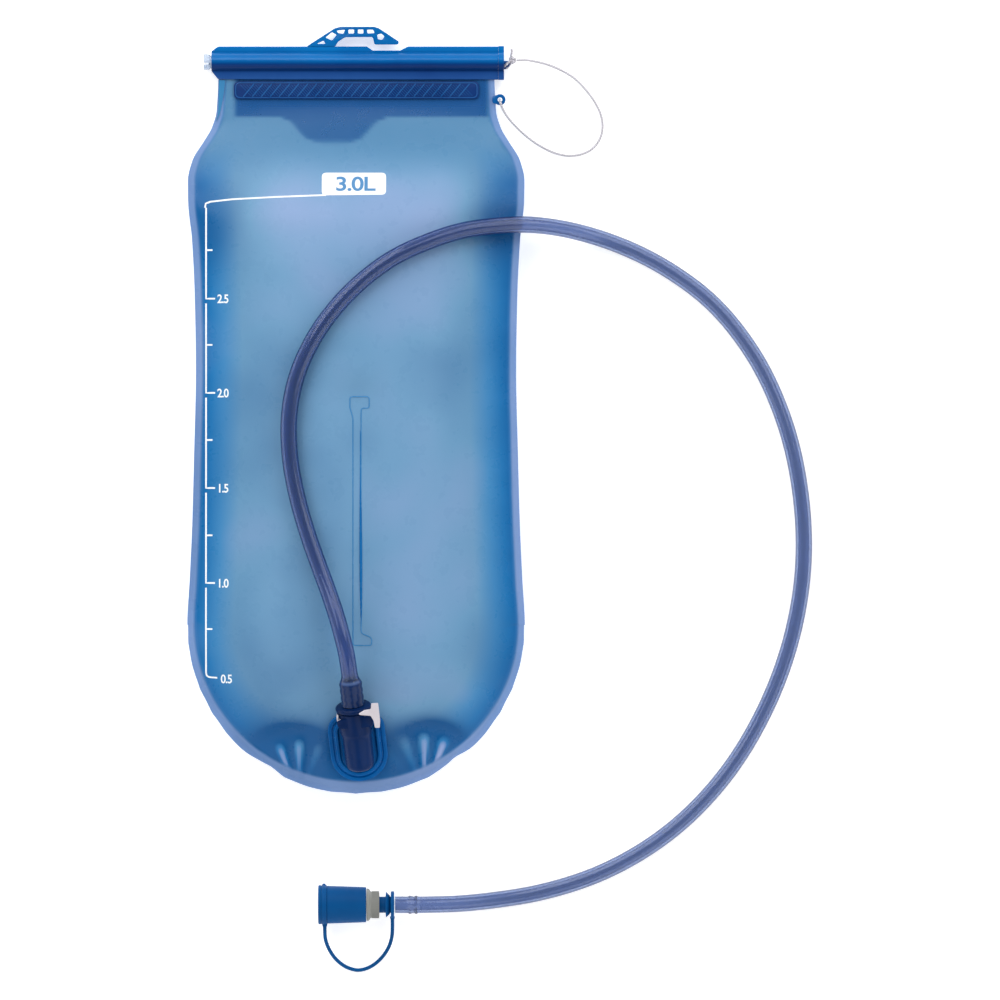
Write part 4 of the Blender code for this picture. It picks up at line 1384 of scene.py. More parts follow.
def drape_points(route: Sequence[Pair], height: Callable[[float, float], float], step: float, lift: float):
    """Points along a flat route, no further apart than a step, laid on a surface.

    Args:
        route: the flat route.
        height: the surface.
        step: the longest gap between points.
        lift: how far above the surface they lie.

    Returns:
        The points.
    """
    out: list[Vector] = []
    for (x0, y0), (x1, y1) in zip(route, route[1:]):
        count = max(1, math.ceil(math.hypot(x1 - x0, y1 - y0) / step))
        for i in range(count):
            x = x0 + (x1 - x0) * i / count
            y = y0 + (y1 - y0) * i / count
            out.append(Vector((x, y, height(x, y) + lift)))
    x, y = route[-1]
    out.append(Vector((x, y, height(x, y) + lift)))
    return out


def ribbon(route: Sequence[Pair], width: float, height: Callable[[float, float], float], lift: float):
    """A thin flat strip of ink that follows a route over a surface.

    Args:
        route: the middle of the strip.
        width: its width.
        height: the surface that it lies on.
        lift: how far its upper side is above the surface.

    Returns:
        The closed shape.
    """
    middle = drape_points(route, height, 2.5, 0.0)
    loops = []
    for i, point in enumerate(middle):
        heading = middle[min(i + 1, len(middle) - 1)] - middle[max(i - 1, 0)]
        across = Vector((-heading.y, heading.x)).normalized() * width / 2
        left, right = point.xy + across, point.xy - across
        low_left, low_right = height(*left), height(*right)
        loops.append([
            (*left, low_left + 0.02), (*right, low_right + 0.02),
            (*right, low_right + lift), (*left, low_left + lift),
        ])
    return lofted(loops)


@dataclass
class VolumeMarks:
    """The printed volume scale: a line down the left side with ticks and figures."""

    shape: BladderShape
    line_x: float = -85.0
    line_width: float = 0.95
    lift: float = 0.09
    figure_height: float = 4.9
    long_ticks: tuple[tuple[str, float], ...] = (
        ("2.5", 62.9), ("2.0", 9.5), ("1.5", -44.4), ("1.0", -98.2), ("0.5", -151.5),
    )
    short_ticks: tuple[float, ...] = (90.4, 36.7, -17.2, -71.2, -124.3)

    def build(self, finishes: Wardrobe) -> None:
        """Make the marks as a thin layer of ink on the film.

        Args:
            finishes: where the materials come from.
        """
        strips = [self.strip([
            (self.line_x - 0.6, 114.5), (self.line_x - 0.2, 116.9), (self.line_x + 2.5, 117.9),
            (-70.0, 119.2), (-45.0, 120.4), (-17.0, 121.4),
        ])]
        top = 114.5
        for _, tick in self.long_ticks[:-1]:
            strips.append(self.strip([(self.line_x, top), (self.line_x, tick), (self.line_x + 5.2, tick)]))
            top = tick - 2.7
        _, last = self.long_ticks[-1]
        corner = [(self.line_x, top), (self.line_x, last), (self.line_x + 6.4, last - 0.4)]
        strips.append(self.strip(fillet(corner, 2.6, False)))
        for tick in self.short_ticks:
            strips.append(self.strip([(self.line_x + 0.4, tick), (self.line_x + 3.7, tick)]))
        label = fillet([(-19.3, 121.2), (17.1, 121.6), (17.1, 134.2), (-19.3, 134.2)], 2.4)
        strips.append(self.patch(label))
        for words, tick in self.long_ticks:
            aside, down = (2.2, 0.9) if words == self.long_ticks[-1][0] else (0.2, 0.0)
            foot = tick - self.figure_height / 2 - down
            strips.append(self.figures(words, self.line_x + 6.2 + aside, foot, self.lift))
        ink = add_piece("volume_scale_ink", merged(strips), finishes[Finish.INK], "bag", 60.0)
        ink.visible_shadow = False
        knocked_out = self.figures("3.0L", -11.8, 124.0, self.lift + 0.05, 8.1, 1.28)
        add_piece("volume_label_figures", knocked_out, finishes[Finish.INK_GAP], "bag", 60.0)

    def strip(self, route: Sequence[Pair]) -> bmesh.types.BMesh:
        """A line of ink."""
        return ribbon(route, self.line_width, self.shape.front, self.lift)

    def patch(self, outline: Sequence[Pair]) -> bmesh.types.BMesh:
        """A filled shape of ink, in rows of short strips so that it follows the film."""
        xs = [x for x, _ in outline]
        low, high = min(xs), max(xs)
        loops = []
        count = 36
        for i in range(count + 1):
            x = low + 0.02 + (high - low - 0.04) * (0.5 - 0.5 * math.cos(math.pi * i / count))
            ys = crossing_heights(outline, x)
            bottom, top = min(ys), max(ys)
            column = [bottom + (top - bottom) * k / 5 for k in range(6)]
            under = [(x, y, self.shape.front(x, y) + 0.02) for y in column]
            over = [(x, y, self.shape.front(x, y) + self.lift) for y in reversed(column)]
            loops.append(under + over)
        return lofted(loops)

    def figures(self, words: str, x: float, y: float, lift: float, size: float = 0.0, stretch: float = 0.86):
        """Plain figures laid on the film.

        Args:
            words: the figures.
            x: their left edge.
            y: their foot.
            lift: how far above the film their top is.
            size: how tall they are, or 0 for the scale's own size.
            stretch: how wide they are for their height.

        Returns:
            The closed shape.
        """
        tall = size or self.figure_height
        curve = bpy.data.curves.new("figures", "FONT")
        curve.body = words
        curve.size = tall * MM / 0.72
        curve.space_character = 0.92
        curve.offset = 0.000025 * tall
        item = bpy.data.objects.new("figures", curve)
        bpy.context.scene.collection.objects.link(item)
        bpy.context.view_layer.update()
        mesh = bpy.data.meshes.new_from_object(item.evaluated_get(bpy.context.evaluated_depsgraph_get()))
        bpy.data.objects.remove(item, do_unlink=True)
        bpy.data.curves.remove(curve)
        bm = bmesh.new()
        bm.from_mesh(mesh)
        bpy.data.meshes.remove(mesh)
        bmesh.ops.remove_doubles(bm, verts=bm.verts, dist=1e-6)
        bmesh.ops.scale(bm, vec=(stretch, 1.0, 1.0), verts=bm.verts)
        bmesh.ops.translate(bm, vec=(x * MM, y * MM, 0.0), verts=bm.verts)
        for vert in bm.verts:
            vert.co.z = (self.shape.front(vert.co.x / MM, vert.co.y / MM) + lift) * MM
        raised = bmesh.ops.extrude_face_region(bm, geom=bm.faces[:])
        lowered = [part for part in raised["geom"] if isinstance(part, bmesh.types.BMVert)]
        bmesh.ops.translate(bm, verts=lowered, vec=(0.0, 0.0, -0.06 * MM))
        return bm


def crossing_heights(outline: Sequence[Pair], x: float) -> list[float]:
    """Where an upright line at x crosses an outline."""
    found = []
    for (x0, y0), (x1, y1) in zip(outline, [*outline[1:], outline[0]]):
        if min(x0, x1) <= x <= max(x0, x1) and x0 != x1:
            found.append(y0 + (y1 - y0) * (x - x0) / (x1 - x0))
    return found


# ---- neck ----------------------------------------------------------------------------------------


def rib_row(name: str, count: int, pitch: float, rib: Triple, lean: float, material) -> bmesh.types.BMesh:
    """A row of equal slanted ribs along X, laid out by geometry nodes.

    Args:
        name: what the tree is called.
        count: how many ribs.
        pitch: the distance between them, in millimetres.
        rib: each rib's length, width and height.
        lean: how far each leans from X, in degrees.
        material: its finish.

    Returns:
        The ribs as one shape, the row centred on the origin, in metres.
    """
    tree = bpy.data.node_groups.new(name, "GeometryNodeTree")
    tree.interface.new_socket("Geometry", in_out="OUTPUT", socket_type="NodeSocketGeometry")
    wanted = {"Count": count, "Pitch": pitch * MM, "Lean": math.radians(lean)}
    kinds = {"Count": "NodeSocketInt", "Pitch": "NodeSocketFloat", "Lean": "NodeSocketFloat"}
    sockets = {
        key: tree.interface.new_socket(key, in_out="INPUT", socket_type=kinds[key]) for key in wanted
    }
    inputs = add_node(tree, "NodeGroupInput").outputs
    offset = add_node(tree, "ShaderNodeCombineXYZ", links={"X": inputs["Pitch"]})
    links = {"Count": inputs["Count"], "Offset": offset.outputs[0]}
    line = add_node(tree, "GeometryNodeMeshLine", links=links)
    block = add_node(tree, "GeometryNodeMeshCube", {"Size": [value * MM for value in rib]})
    turn = add_node(tree, "ShaderNodeCombineXYZ", links={"Z": inputs["Lean"]})
    placed = add_node(
        tree,
        "GeometryNodeInstanceOnPoints",
        links={
            "Points": line.outputs["Mesh"], "Instance": block.outputs["Mesh"], "Rotation": turn.outputs[0],
        },
    )
    return realised(tree, placed.outputs["Instances"], sockets, wanted, material, (count - 1) * pitch / 2)


def rib_ring(name: str, count: int, radius: float, rib: Triple, material) -> bmesh.types.BMesh:
    """Equal ribs standing round a circle about Z, laid out by geometry nodes.

    Args:
        name: what the tree is called.
        count: how many ribs.
        radius: the circle's radius, in millimetres.
        rib: each rib's depth, width and length.
        material: its finish.

    Returns:
        The ribs as one shape, in metres.
    """
    tree = bpy.data.node_groups.new(name, "GeometryNodeTree")
    tree.interface.new_socket("Geometry", in_out="OUTPUT", socket_type="NodeSocketGeometry")
    wanted = {"Count": count, "Radius": radius * MM}
    kinds = {"Count": "NodeSocketInt", "Radius": "NodeSocketFloat"}
    sockets = {
        key: tree.interface.new_socket(key, in_out="INPUT", socket_type=kinds[key]) for key in wanted
    }
    inputs = add_node(tree, "NodeGroupInput").outputs
    links = {"Vertices": inputs["Count"], "Radius": inputs["Radius"]}
    ring = add_node(tree, "GeometryNodeMeshCircle", links=links)
    block = add_node(tree, "GeometryNodeMeshCube", {"Size": [value * MM for value in rib]})
    outward = add_node(tree, "GeometryNodeInputPosition").outputs[0]
    facing = add_node(tree, "FunctionNodeAlignRotationToVector", {"axis": "X"}, {"Vector": outward})
    placed = add_node(
        tree,
        "GeometryNodeInstanceOnPoints",
        links={
            "Points": ring.outputs["Mesh"], "Instance": block.outputs["Mesh"],
            "Rotation": facing.outputs[0],
        },
    )
    return realised(tree, placed.outputs["Instances"], sockets, wanted, material, 0.0)


def realised(tree, instances, sockets: dict, wanted: dict, material, shift: float) -> bmesh.types.BMesh:
    """Close a geometry tree, run it once with its inputs set, and take its result as a plain shape.

    Args:
        tree: the tree so far.
        instances: the socket that gives the instances.
        sockets: the tree's inputs by name.
        wanted: the value for each input.
        material: the finish to set.
        shift: how far the result moves towards -X, in millimetres.

    Returns:
        The result, in metres.
    """
    real = add_node(tree, "GeometryNodeRealizeInstances", links={"Geometry": instances})
    dressed = add_node(
        tree, "GeometryNodeSetMaterial", {"Material": material}, {"Geometry": real.outputs["Geometry"]}
    )
    add_node(tree, "NodeGroupOutput", links={"Geometry": dressed.outputs["Geometry"]})
    holder = bpy.data.objects.new("rib_holder", bpy.data.meshes.new("rib_holder"))
    bpy.context.scene.collection.objects.link(holder)
    modifier = holder.modifiers.new("ribs", "NODES")
    modifier.node_group = tree
    for key, value in wanted.items():
        modifier[sockets[key].identifier] = value
    bpy.context.view_layer.update()
    mesh = bpy.data.meshes.new_from_object(holder.evaluated_get(bpy.context.evaluated_depsgraph_get()))
    holder.modifiers.remove(modifier)
    bpy.data.objects.remove(holder, do_unlink=True)
    bm = bmesh.new()
    bm.from_mesh(mesh)
    bpy.data.meshes.remove(mesh)
    bmesh.ops.translate(bm, vec=(-shift * MM, 0.0, 0.0), verts=bm.verts)
    return bm


@dataclass
class Neck:
    """What is welded on the bladder's mouth: the hatched strip, the folded flap and the tether lug."""

    shape: BladderShape
    flap_shape: FlapShape
    strip_low: float = 176.7
    strip_high: float = 186.5
    strip_half: float = 69.6
    strip_thick: float = 1.0
    hatch_pitch: float = 5.1

    def build(self, finishes: Wardrobe) -> None:
        """Make the pieces.

        Args:
            finishes: where the materials come from.
        """
        base = self.shape.front(0.0, 182.0) + GAP
        self.grip_strip(finishes, base)
        self.flap(finishes[Finish.FLAP])
        self.side_fold(finishes[Finish.SIDE_FOLD])
        self.lug(finishes[Finish.LUG], base)

    def grip_strip(self, finishes: Wardrobe, base: float) -> None:
        """The stiff strip with its slanted hatch, finer one way than the other."""
        half, low, high = self.strip_half, self.strip_low, self.strip_high
        outline = fillet([(-half, high), (-half, low), (half, low), (half, high)], 2.8)
        top = base + self.strip_thick
        plate = softened(slab(outline, base, top), 0.3)
        strip = add_piece("hatched_strip", plate, finishes[Finish.GRIP], "bag")
        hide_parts("front_grip_strip")
        count = int((2 * half - 9.0) / self.hatch_pitch)
        middle = Matrix.Translation((0.0, (low + high) / 2 * MM, (top + 0.02) * MM))
        rib, fine = finishes[Finish.GRIP_RIB], finishes[Finish.GRIP_FINE]
        crossing = rib_row("hatch_cross", 3 * count, self.hatch_pitch / 3, (8.8, 0.22, 0.16), -46.0, fine)
        bmesh.ops.transform(crossing, matrix=middle, verts=crossing.verts)
        add_piece("strip_fine_hatch", crossing, fine, "bag", 25.0)
        rows = [rib_row("hatch_main", count, self.hatch_pitch, (9.6, 0.6, 0.36), 50.0, rib)]
        hatch = merged(rows)
        bmesh.ops.transform(hatch, matrix=middle, verts=hatch.verts)
        rim = [(x * 0.985, low + 0.7 + (y - low) * (1 - 1.4 / (high - low))) for x, y in outline]
        path = [Vector((x, y, top + 0.02)) for x, y in [*rim, rim[0]]]
        whole = merged([hatch, swept(path, [0.24] * len(path), 6)])
        add_piece("strip_hatch", whole, finishes[Finish.GRIP_RIB], "bag", 25.0)

    def flap(self, material: bpy.types.Material) -> None:
        """The mouth folded over to the back, with its pull tab hanging in the middle."""
        closure = self.shape.weld(self.shape.top)
        fall = SmoothTable([(152.0, -6.25), (164.0, -6.15), (170.0, -5.35), (178.0, -3.4), (186.0, -1.95)])
        stations = [151.6, 152.1, 153.0, 154.4, 156.0, 158.0, 160.0, 162.0, 163.5, 165.0, 166.2, 166.8,
                    167.4, 170.0, 173.0, 176.0, 179.0, 182.0, 186.0, 193.3]
        loops = []
        for y in stations:
            a, b, z = self.flap_shape.left(y), self.flap_shape.right(y), closure + fall(y)
            under = [(a + (b - a) * k / 10, y, z) for k in range(11)]
            loops.append(under + [(x, y, z + 0.5) for x, y, z in reversed(under)])
        piece = add_piece("folded_mouth_flap", lofted(loops), material, "bag")
        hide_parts("rear_fold_flap")

    def side_fold(self, material: bpy.types.Material) -> None:
        """The doubled edge of the neck at the left, which tapers away down the shoulder."""
        loops = []
        for i in range(15):
            y = 187.4 - 23.4 * i / 14
            outer = -self.shape.side(y) + 0.3 + 0.06 * i
            width = 3.4 * (1 - (i / 14) ** 1.4) + 0.15
            z = self.shape.front(outer, y) + 0.05
            loops.append([
                (outer, y, z), (outer + width, y, z), (outer + width, y, z + 0.5), (outer, y, z + 0.5),
            ])
        add_piece("neck_side_fold", lofted(loops), material, "bag")

    def lug(self, material: bpy.types.Material, base: float) -> None:
        """The small eyelet that the tether goes through."""
        outline = fillet(
            [(77.2, 178.2), (77.2, 174.4), *arc(81.6, 176.2, 3.2, -125.0, 250.0, 28)], 1.0, True, 2
        )
        ring = arc(81.6, 176.2, 1.3, 0.0, 360.0, 28)
        hole = [[(x, y, z) for x, y in ring] for z in (base - 1.0, base + 3.0)]
        plate = softened(with_cuts(slab(outline, base, base + 1.4), [lofted(hole)]), 0.25)
        piece = add_piece("tether_eyelet", plate, material, "bag")
        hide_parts("eyelet_lug")


# ---- slide closure -------------------------------------------------------------------------------


@dataclass
class SlideClosure:
    """The slide bar with its hanger hook, and the clear rail inside."""

    centre_y: float = 197.7
    centre_z: float = 5.8
    radius: float = 5.6
    bore: float = 4.4
    ends: Pair = (-82.3, 80.6)
    wall_end: float = 83.9
    lip_y: float = 187.7
    lip_inside: float = 1.65
    lip_outside: float = 2.75
    rib_top: float = 206.5
    rib_half: float = 2.0
    notch_floor: float = 204.2
    hook_half: float = 1.9

    def build(self, finishes: Wardrobe) -> None:
        """Make the bar, the hook and the rail.

        Args:
            finishes: where the materials come from.
        """
        blue = finishes[Finish.CLOSURE]
        bar = add_piece("slide_bar", self.bar(), blue, "slider", 30.0)
        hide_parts("slider_channel")
        wall = add_piece("slide_bar_end_wall", self.end_wall(), blue, "slider", 30.0)
        LOG.info("end wall %s closes the bar", wall.name)
        hook = add_piece("hanger_hook_truss", self.hook(), blue, "slider", 30.0)
        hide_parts("hanger_hook")
        rail = add_piece("clear_fold_rail", self.rail(), finishes[Finish.RAIL], "bag", 30.0)
        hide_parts("fold_rail")

    def section(self, lip: float, rib: float, grow: float = 0.0, closed: bool = False) -> list[Pair]:
        """Outline of the bar in (y, z) about its bore.

        Args:
            lip: how far the lips reach towards the bladder.
            rib: how far the rib stands away from it.
            grow: how much fatter the outline is.
            closed: whether it is solid, without bore and slot.

        Returns:
            The outline.
        """
        radius, lip_out, half = self.radius + grow, self.lip_outside + grow, self.rib_half + 0.5 * grow
        lip_angle = math.degrees(math.asin(lip_out / radius))
        rib_angle = math.degrees(math.asin(half / radius))
        bore_angle = math.degrees(math.asin(self.lip_inside / self.bore))
        turn = lip_angle + rib_angle - 180.0
        upper = arc(0.0, 0.0, radius, 180.0 - lip_angle, turn, 26)
        lower = arc(0.0, 0.0, radius, -rib_angle, turn, 26)
        flute = 0.35
        outline = [
            (lip, lip_out - 0.3), (lip + 0.3, lip_out), *upper, (upper[-1][0] + 0.25, half - flute),
            (rib - 0.5, half), (rib, half - 0.5), (rib, 0.5 - half), (rib - 0.5, -half),
            (lower[0][0] + 0.25, flute - half), *lower, (lip + 0.3, -lip_out), (lip, 0.3 - lip_out),
        ]
        if not closed:
            inner = arc(0.0, 0.0, self.bore, 180.0 + bore_angle, 359.99 - 2 * bore_angle, 40)
            outline += [(lip, -self.lip_inside), *inner, (lip, self.lip_inside)]
        return outline

    def bar(self) -> bmesh.types.BMesh:
        """The bar: one section drawn along X, its lips and rib cut back at the open end and at the notch."""
        lips = SmoothTable([(-82.3, -5.2), (-81.9, -5.8), (-77.6, -10.0), (80.6, -10.0)])
        rib_full = self.rib_top - self.centre_y
        low = self.notch_floor - self.centre_y
        stations = [
            (-82.3, 6.0), (-82.0, 6.3), (-79.2, rib_full - 0.4), (-78.2, rib_full), (-40.0, rib_full),
            (6.0, rib_full), (7.6, 0.5 * (rib_full + low)), (9.4, low), (24.9, low),
            (27.0, 0.5 * (rib_full + low)), (29.3, rib_full), (60.0, rib_full), (80.6, rib_full),
        ]
        loops = []
        for x, rib in stations:
            section = self.section(lips(x), rib)
            loops.append([(x, self.centre_y + y, self.centre_z + z) for y, z in section])
        return lofted(loops)

    def end_wall(self) -> bmesh.types.BMesh:
        """The wall that shuts the bar's right end, and the small lug that the tether is tied to."""
        full = self.rib_top - self.centre_y
        loops = []
        for x, grow in ((80.62, 0.1), (80.8, 0.45), (83.5, 0.45), (self.wall_end, 0.1)):
            section = self.section(self.lip_y - self.centre_y - 0.2, full + 0.6 * grow, grow, True)
            loops.append([(x, self.centre_y + y, self.centre_z + z) for y, z in section])
        place = Matrix.Translation(Vector((85.4, 196.6, self.centre_z)) * MM)
        place = place @ Matrix.Rotation(math.pi / 2, 4, "X")
        ring = turned(arc(1.35, 0.0, 0.55, 0.0, 360.0, 12), place, 32)
        root = fillet([(83.6, 193.6), (85.0, 193.6), (86.0, 195.4), (84.6, 198.4), (83.6, 198.6)], 0.5)
        neck = softened(slab(root, self.centre_z - 1.2, self.centre_z + 1.2), 0.25)
        return merged([lofted(loops), neck, ring])

    def hook(self) -> bmesh.types.BMesh:
        """The truss-like hook, its windows open, with rounded edges."""
        edge = [
            (-28.3, 206.5), (-12.5, 216.7), (-9.1, 217.7), (10.1, 217.7), (12.9, 216.8), (24.3, 209.2),
            (23.5, 207.6), (10.2, 207.6), (9.3, 211.9), (-6.4, 211.8), (-10.5, 209.2), (-11.9, 206.5),
        ]
        windows = [
            [(-22.6, 208.0), (-17.6, 208.0), (-18.7, 209.9)],
            [(-17.6, 211.6), (-13.9, 214.7), (-11.2, 213.1), (-13.9, 209.9)],
            [(-11.2, 215.6), (-6.4, 216.1), (-7.4, 213.6), (-10.5, 214.1)],
            [(-4.6, 216.2), (-1.3, 216.2), (-1.3, 213.8), (-4.6, 213.8)],
            [(0.8, 216.2), (4.0, 216.2), (4.0, 213.8), (0.8, 213.8)],
            [(6.0, 216.1), (9.5, 216.1), (10.4, 214.1), (6.3, 213.8)],
            [(11.8, 213.3), (14.1, 213.9), (16.0, 212.3), (14.6, 210.2), (12.2, 210.6)],
        ]
        low, high = self.centre_z - self.hook_half, self.centre_z + self.hook_half
        body = slab(fillet(edge, 1.0), low, high)
        cutters = []
        for window in windows:
            rounded = fillet(window, 0.6, True, 3)
            cutters.append(slab(rounded, low - 2.0, high + 2.0))
        return softened(with_cuts(body, cutters), 0.3)

    def rail(self) -> bmesh.types.BMesh:
        """The rail: a bar in the fold, and a slotted clear head that stands out at the left."""
        place = Matrix.Translation(Vector((0.0, self.centre_y, self.centre_z)) * MM)
        place = place @ Matrix.Rotation(math.radians(-90.0), 4, "Z")
        profile = fillet([
            (0.0, -86.8), (4.6, -86.8), (4.6, -83.7), (3.7, -83.0), (3.7, 79.4), (0.0, 79.4),
        ], 0.5, False)
        slot_low = Vector((-95.0, self.centre_y - 1.5, self.centre_z - 8.0))
        slot_high = Vector((-84.0, self.centre_y - 0.6, self.centre_z + 8.0))
        corners = [(slot_low.x, slot_low.y), (slot_high.x, slot_low.y), (slot_high.x, slot_high.y),
                   (slot_low.x, slot_high.y)]
        slot = lofted([[(x, y, z) for x, y in corners] for z in (slot_low.z, slot_high.z)])
        return with_cuts(turned(profile, place, 48), [slot])


# ---- port ----------------------------------------------------------------------------------------


@dataclass
class Port:
    """The welded oval base, the socket on it with its latch, and the hose's plug."""

    half_width: float = 16.15
    half_length: float = 20.4
    corner_radius: float = 9.5  # of the oval's squarer upper end
    mouth: float = 25.8
    latch_place: float = 22.1

    def build(self, finishes: Wardrobe) -> None:
        """Make the port's visible pieces.

        Args:
            finishes: where the materials come from.
        """
        base = add_piece("port_oval_base", self.base(), finishes[Finish.PORT], "bag", 30.0)
        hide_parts("port_base")
        socket = add_piece("port_socket_body", self.socket(), finishes[Finish.SOCKET], "bag", 30.0)
        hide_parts("port_socket")
        latch = add_piece("latch_button", self.latch(), finishes[Finish.LATCH], "latch", 30.0)
        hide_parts("latch_plate")
        plug = add_piece(
            "hose_plug_collar", self.plug(), finishes[Finish.SOCKET], "drink_line", 30.0
        )
        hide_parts("hose_plug")

    def stadium(self, inset: float) -> list[Pair]:
        """The base's oval outline, a given way in from its edge."""
        radius = self.half_width - inset
        centre = self.half_length - self.half_width
        corner = max(2.0, self.corner_radius - inset)
        along = self.half_length - inset - corner
        right = arc(radius - corner, along, corner, 0.0, 90.0, 15)
        left = arc(corner - radius, along, corner, 90.0, 90.0, 15)
        return right + left + arc(0.0, -centre, radius, 180.0, 180.0, 30)

    def base(self) -> bmesh.types.BMesh:
        """The stepped oval: a rim, a groove, a raised ring and a recess, with the inlet through it."""
        steps = fillet([
            (0.0, 0.0), (0.0, 1.9), (2.2, 1.9), (2.5, 1.2), (3.3, 1.2), (3.7, 3.0), (5.5, 3.0),
            (5.9, 1.6), (7.2, 1.6),
        ], 0.45, False)
        loops = [[(x, y, z) for x, y in self.stadium(inset)] for inset, z in steps]
        return with_cuts(lofted(loops, PORT_FRAME), [self.inlet()])

    def inlet(self) -> bmesh.types.BMesh:
        """The water's way in, from under the base up into the socket."""
        upright = PORT_FRAME @ Matrix.Translation((0.0, -5.0 * MM, 0.0))
        upright = upright @ Matrix.Rotation(math.pi / 2, 4, "X")
        return turned([(0.0, -8.0), (3.2, -8.0), (3.2, 9.0), (0.0, 9.0)], upright, 32)

    def socket(self) -> bmesh.types.BMesh:
        """The socket: a rounded housing with a collar at its mouth, bored for the plug."""
        foot, over = 1.9, 3.3
        sections = [
            (-10.0, 4.6, 4.4, foot, 0.0), (-9.7, 5.8, 5.4, foot, 0.0), (-9.0, 6.9, 6.2, foot, 0.0),
            (-7.9, 7.6, 6.9, foot, 0.0), (-6.2, 8.1, 7.3, foot, 0.0), (6.8, 8.2, 7.4, foot, 0.0),
            (7.0, 8.2, 7.4, over, 0.0), (9.8, 8.2, 7.5, over, 0.0), (11.4, 8.6, 7.8, over, 0.0),
            (12.4, 9.0, 8.3, over, 0.0), (13.2, 9.1, 8.6, over, -0.1), (20.7, 9.1, 8.7, over, -0.5),
            (20.9, 9.1, 8.7, foot, -0.5), (25.2, 9.0, 8.6, foot, -0.6), (self.mouth, 8.4, 8.1, foot, -0.6),
        ]
        loops = []
        for place, half, rise, low, aside in sections:
            crown = [(aside + half * math.cos(math.pi * i / 40), place,
                      PORT_AXIS_HEIGHT + rise * math.sin(math.pi * i / 40)) for i in range(41)]
            loops.append(crown + [(aside - half, place, low), (aside + half, place, low)])
        bore = [
            (0.0, -8.0), (5.2, -8.0), (5.2, 6.5), (3.6, 6.5), (3.6, 9.6), (4.8, 10.6), (4.8, 40.0),
            (0.0, 40.0),
        ]
        slot = [[(x, y, z) for x, y in ((-12.0, 21.0), (12.0, 21.0), (12.0, 23.2), (-12.0, 23.2))]
                for z in (PORT_AXIS_HEIGHT - 6.6, PORT_AXIS_HEIGHT + 6.6)]
        cutters = [turned(bore, PORT_AXIS, 48), self.inlet(), lofted(slot, PORT_FRAME)]
        return merged([with_cuts(lofted(loops, PORT_FRAME), cutters), *self.shoulders()])

    def shoulders(self) -> list[bmesh.types.BMesh]:
        """The two flat wings of the socket that roof the latch's slot."""
        right = [(2.0, 17.2), (9.8, 17.8), (10.2, 20.0), (10.1, 24.8), (2.0, 25.4)]
        left = [(-2.0, 17.6), (-8.8, 18.4), (-10.1, 20.2), (-10.0, 23.3), (-2.0, 24.6)]
        low = PORT_AXIS_HEIGHT + 6.75
        return [softened(slab(fillet(edge, 1.2), low, low + 1.2, PORT_FRAME), 0.35) for edge in (right, left)]

    def latch(self) -> bmesh.types.BMesh:
        """The catch through the socket, with its thumb pad and the pointed tongue on top."""
        half, place = 0.8, self.latch_place
        plate_edge = [(-9.9, place - half), (12.4, place - half), (12.4, place + half), (-9.9, place + half)]
        height = 6.3
        eye = [[(x, place + side, PORT_AXIS_HEIGHT + z) for x, z in
                arc(1.5, 0.0, 4.9, -90.0, 180.0, 20) + arc(0.0, 0.0, 4.9, 90.0, 180.0, 20)]
                for side in (-4.0, 4.0)]
        low, high = PORT_AXIS_HEIGHT - height, PORT_AXIS_HEIGHT + height
        plate = softened(with_cuts(slab(plate_edge, low, high, PORT_FRAME), [lofted(eye, PORT_FRAME)]), 0.15)
        pad_edge = fillet([(11.9, 26.0), (11.9, 19.4), (13.5, 19.2), (14.1, 22.2), (14.1, 26.0)], 0.5)
        pad = softened(slab(pad_edge, low + 1.0, high + 4.8, PORT_FRAME), 0.4)
        top_edge = fillet([
            (10.4, 33.0), (14.3, 32.8), (14.3, 22.2), (13.6, 17.9), (10.9, 18.2), (10.6, 22.6), (9.3, 25.7),
            (3.3, 26.9), (2.7, 27.7), (6.1, 29.4), (9.9, 29.6),
        ], 0.6)
        top = softened(slab(top_edge, high + 4.4, high + 5.6, PORT_FRAME), 0.4)
        end_edge = [(-10.1, 22.6), (-9.5, 22.6), (-9.0, 24.2), (-8.9, 25.7), (-9.9, 25.7)]
        end = softened(slab(end_edge, PORT_AXIS_HEIGHT + 3.7, PORT_AXIS_HEIGHT + 5.2, PORT_FRAME), 0.2)
        return merged([plate, pad, top, end])

    def plug(self) -> bmesh.types.BMesh:
        """The hose's plug: nose, sealed lands, a wide collar and the barb under the hose."""
        profile = fillet([
            (2.0, 2.5), (3.2, 2.5), (3.2, 9.2), (4.4, 10.9), (4.4, 12.4), (3.4, 12.4), (3.4, 14.0),
            (4.4, 14.0), (4.4, 16.4), (3.4, 16.4), (3.4, 18.0), (4.4, 18.0), (4.4, 26.2), (9.3, 26.2),
            (10.15, 26.9), (10.15, 28.3), (9.3, 29.0), (6.6, 29.1), (4.5, 29.3), (4.0, 31.0), (4.65, 31.6),
            (3.8, 34.8), (4.65, 35.6), (3.8, 38.8), (4.65, 39.6), (3.4, 43.6), (2.0, 43.6),
        ], 0.3, True, 2)
        return turned(profile, PORT_AXIS, 64)


# ---- bite valve ----------------------------------------------------------------------------------


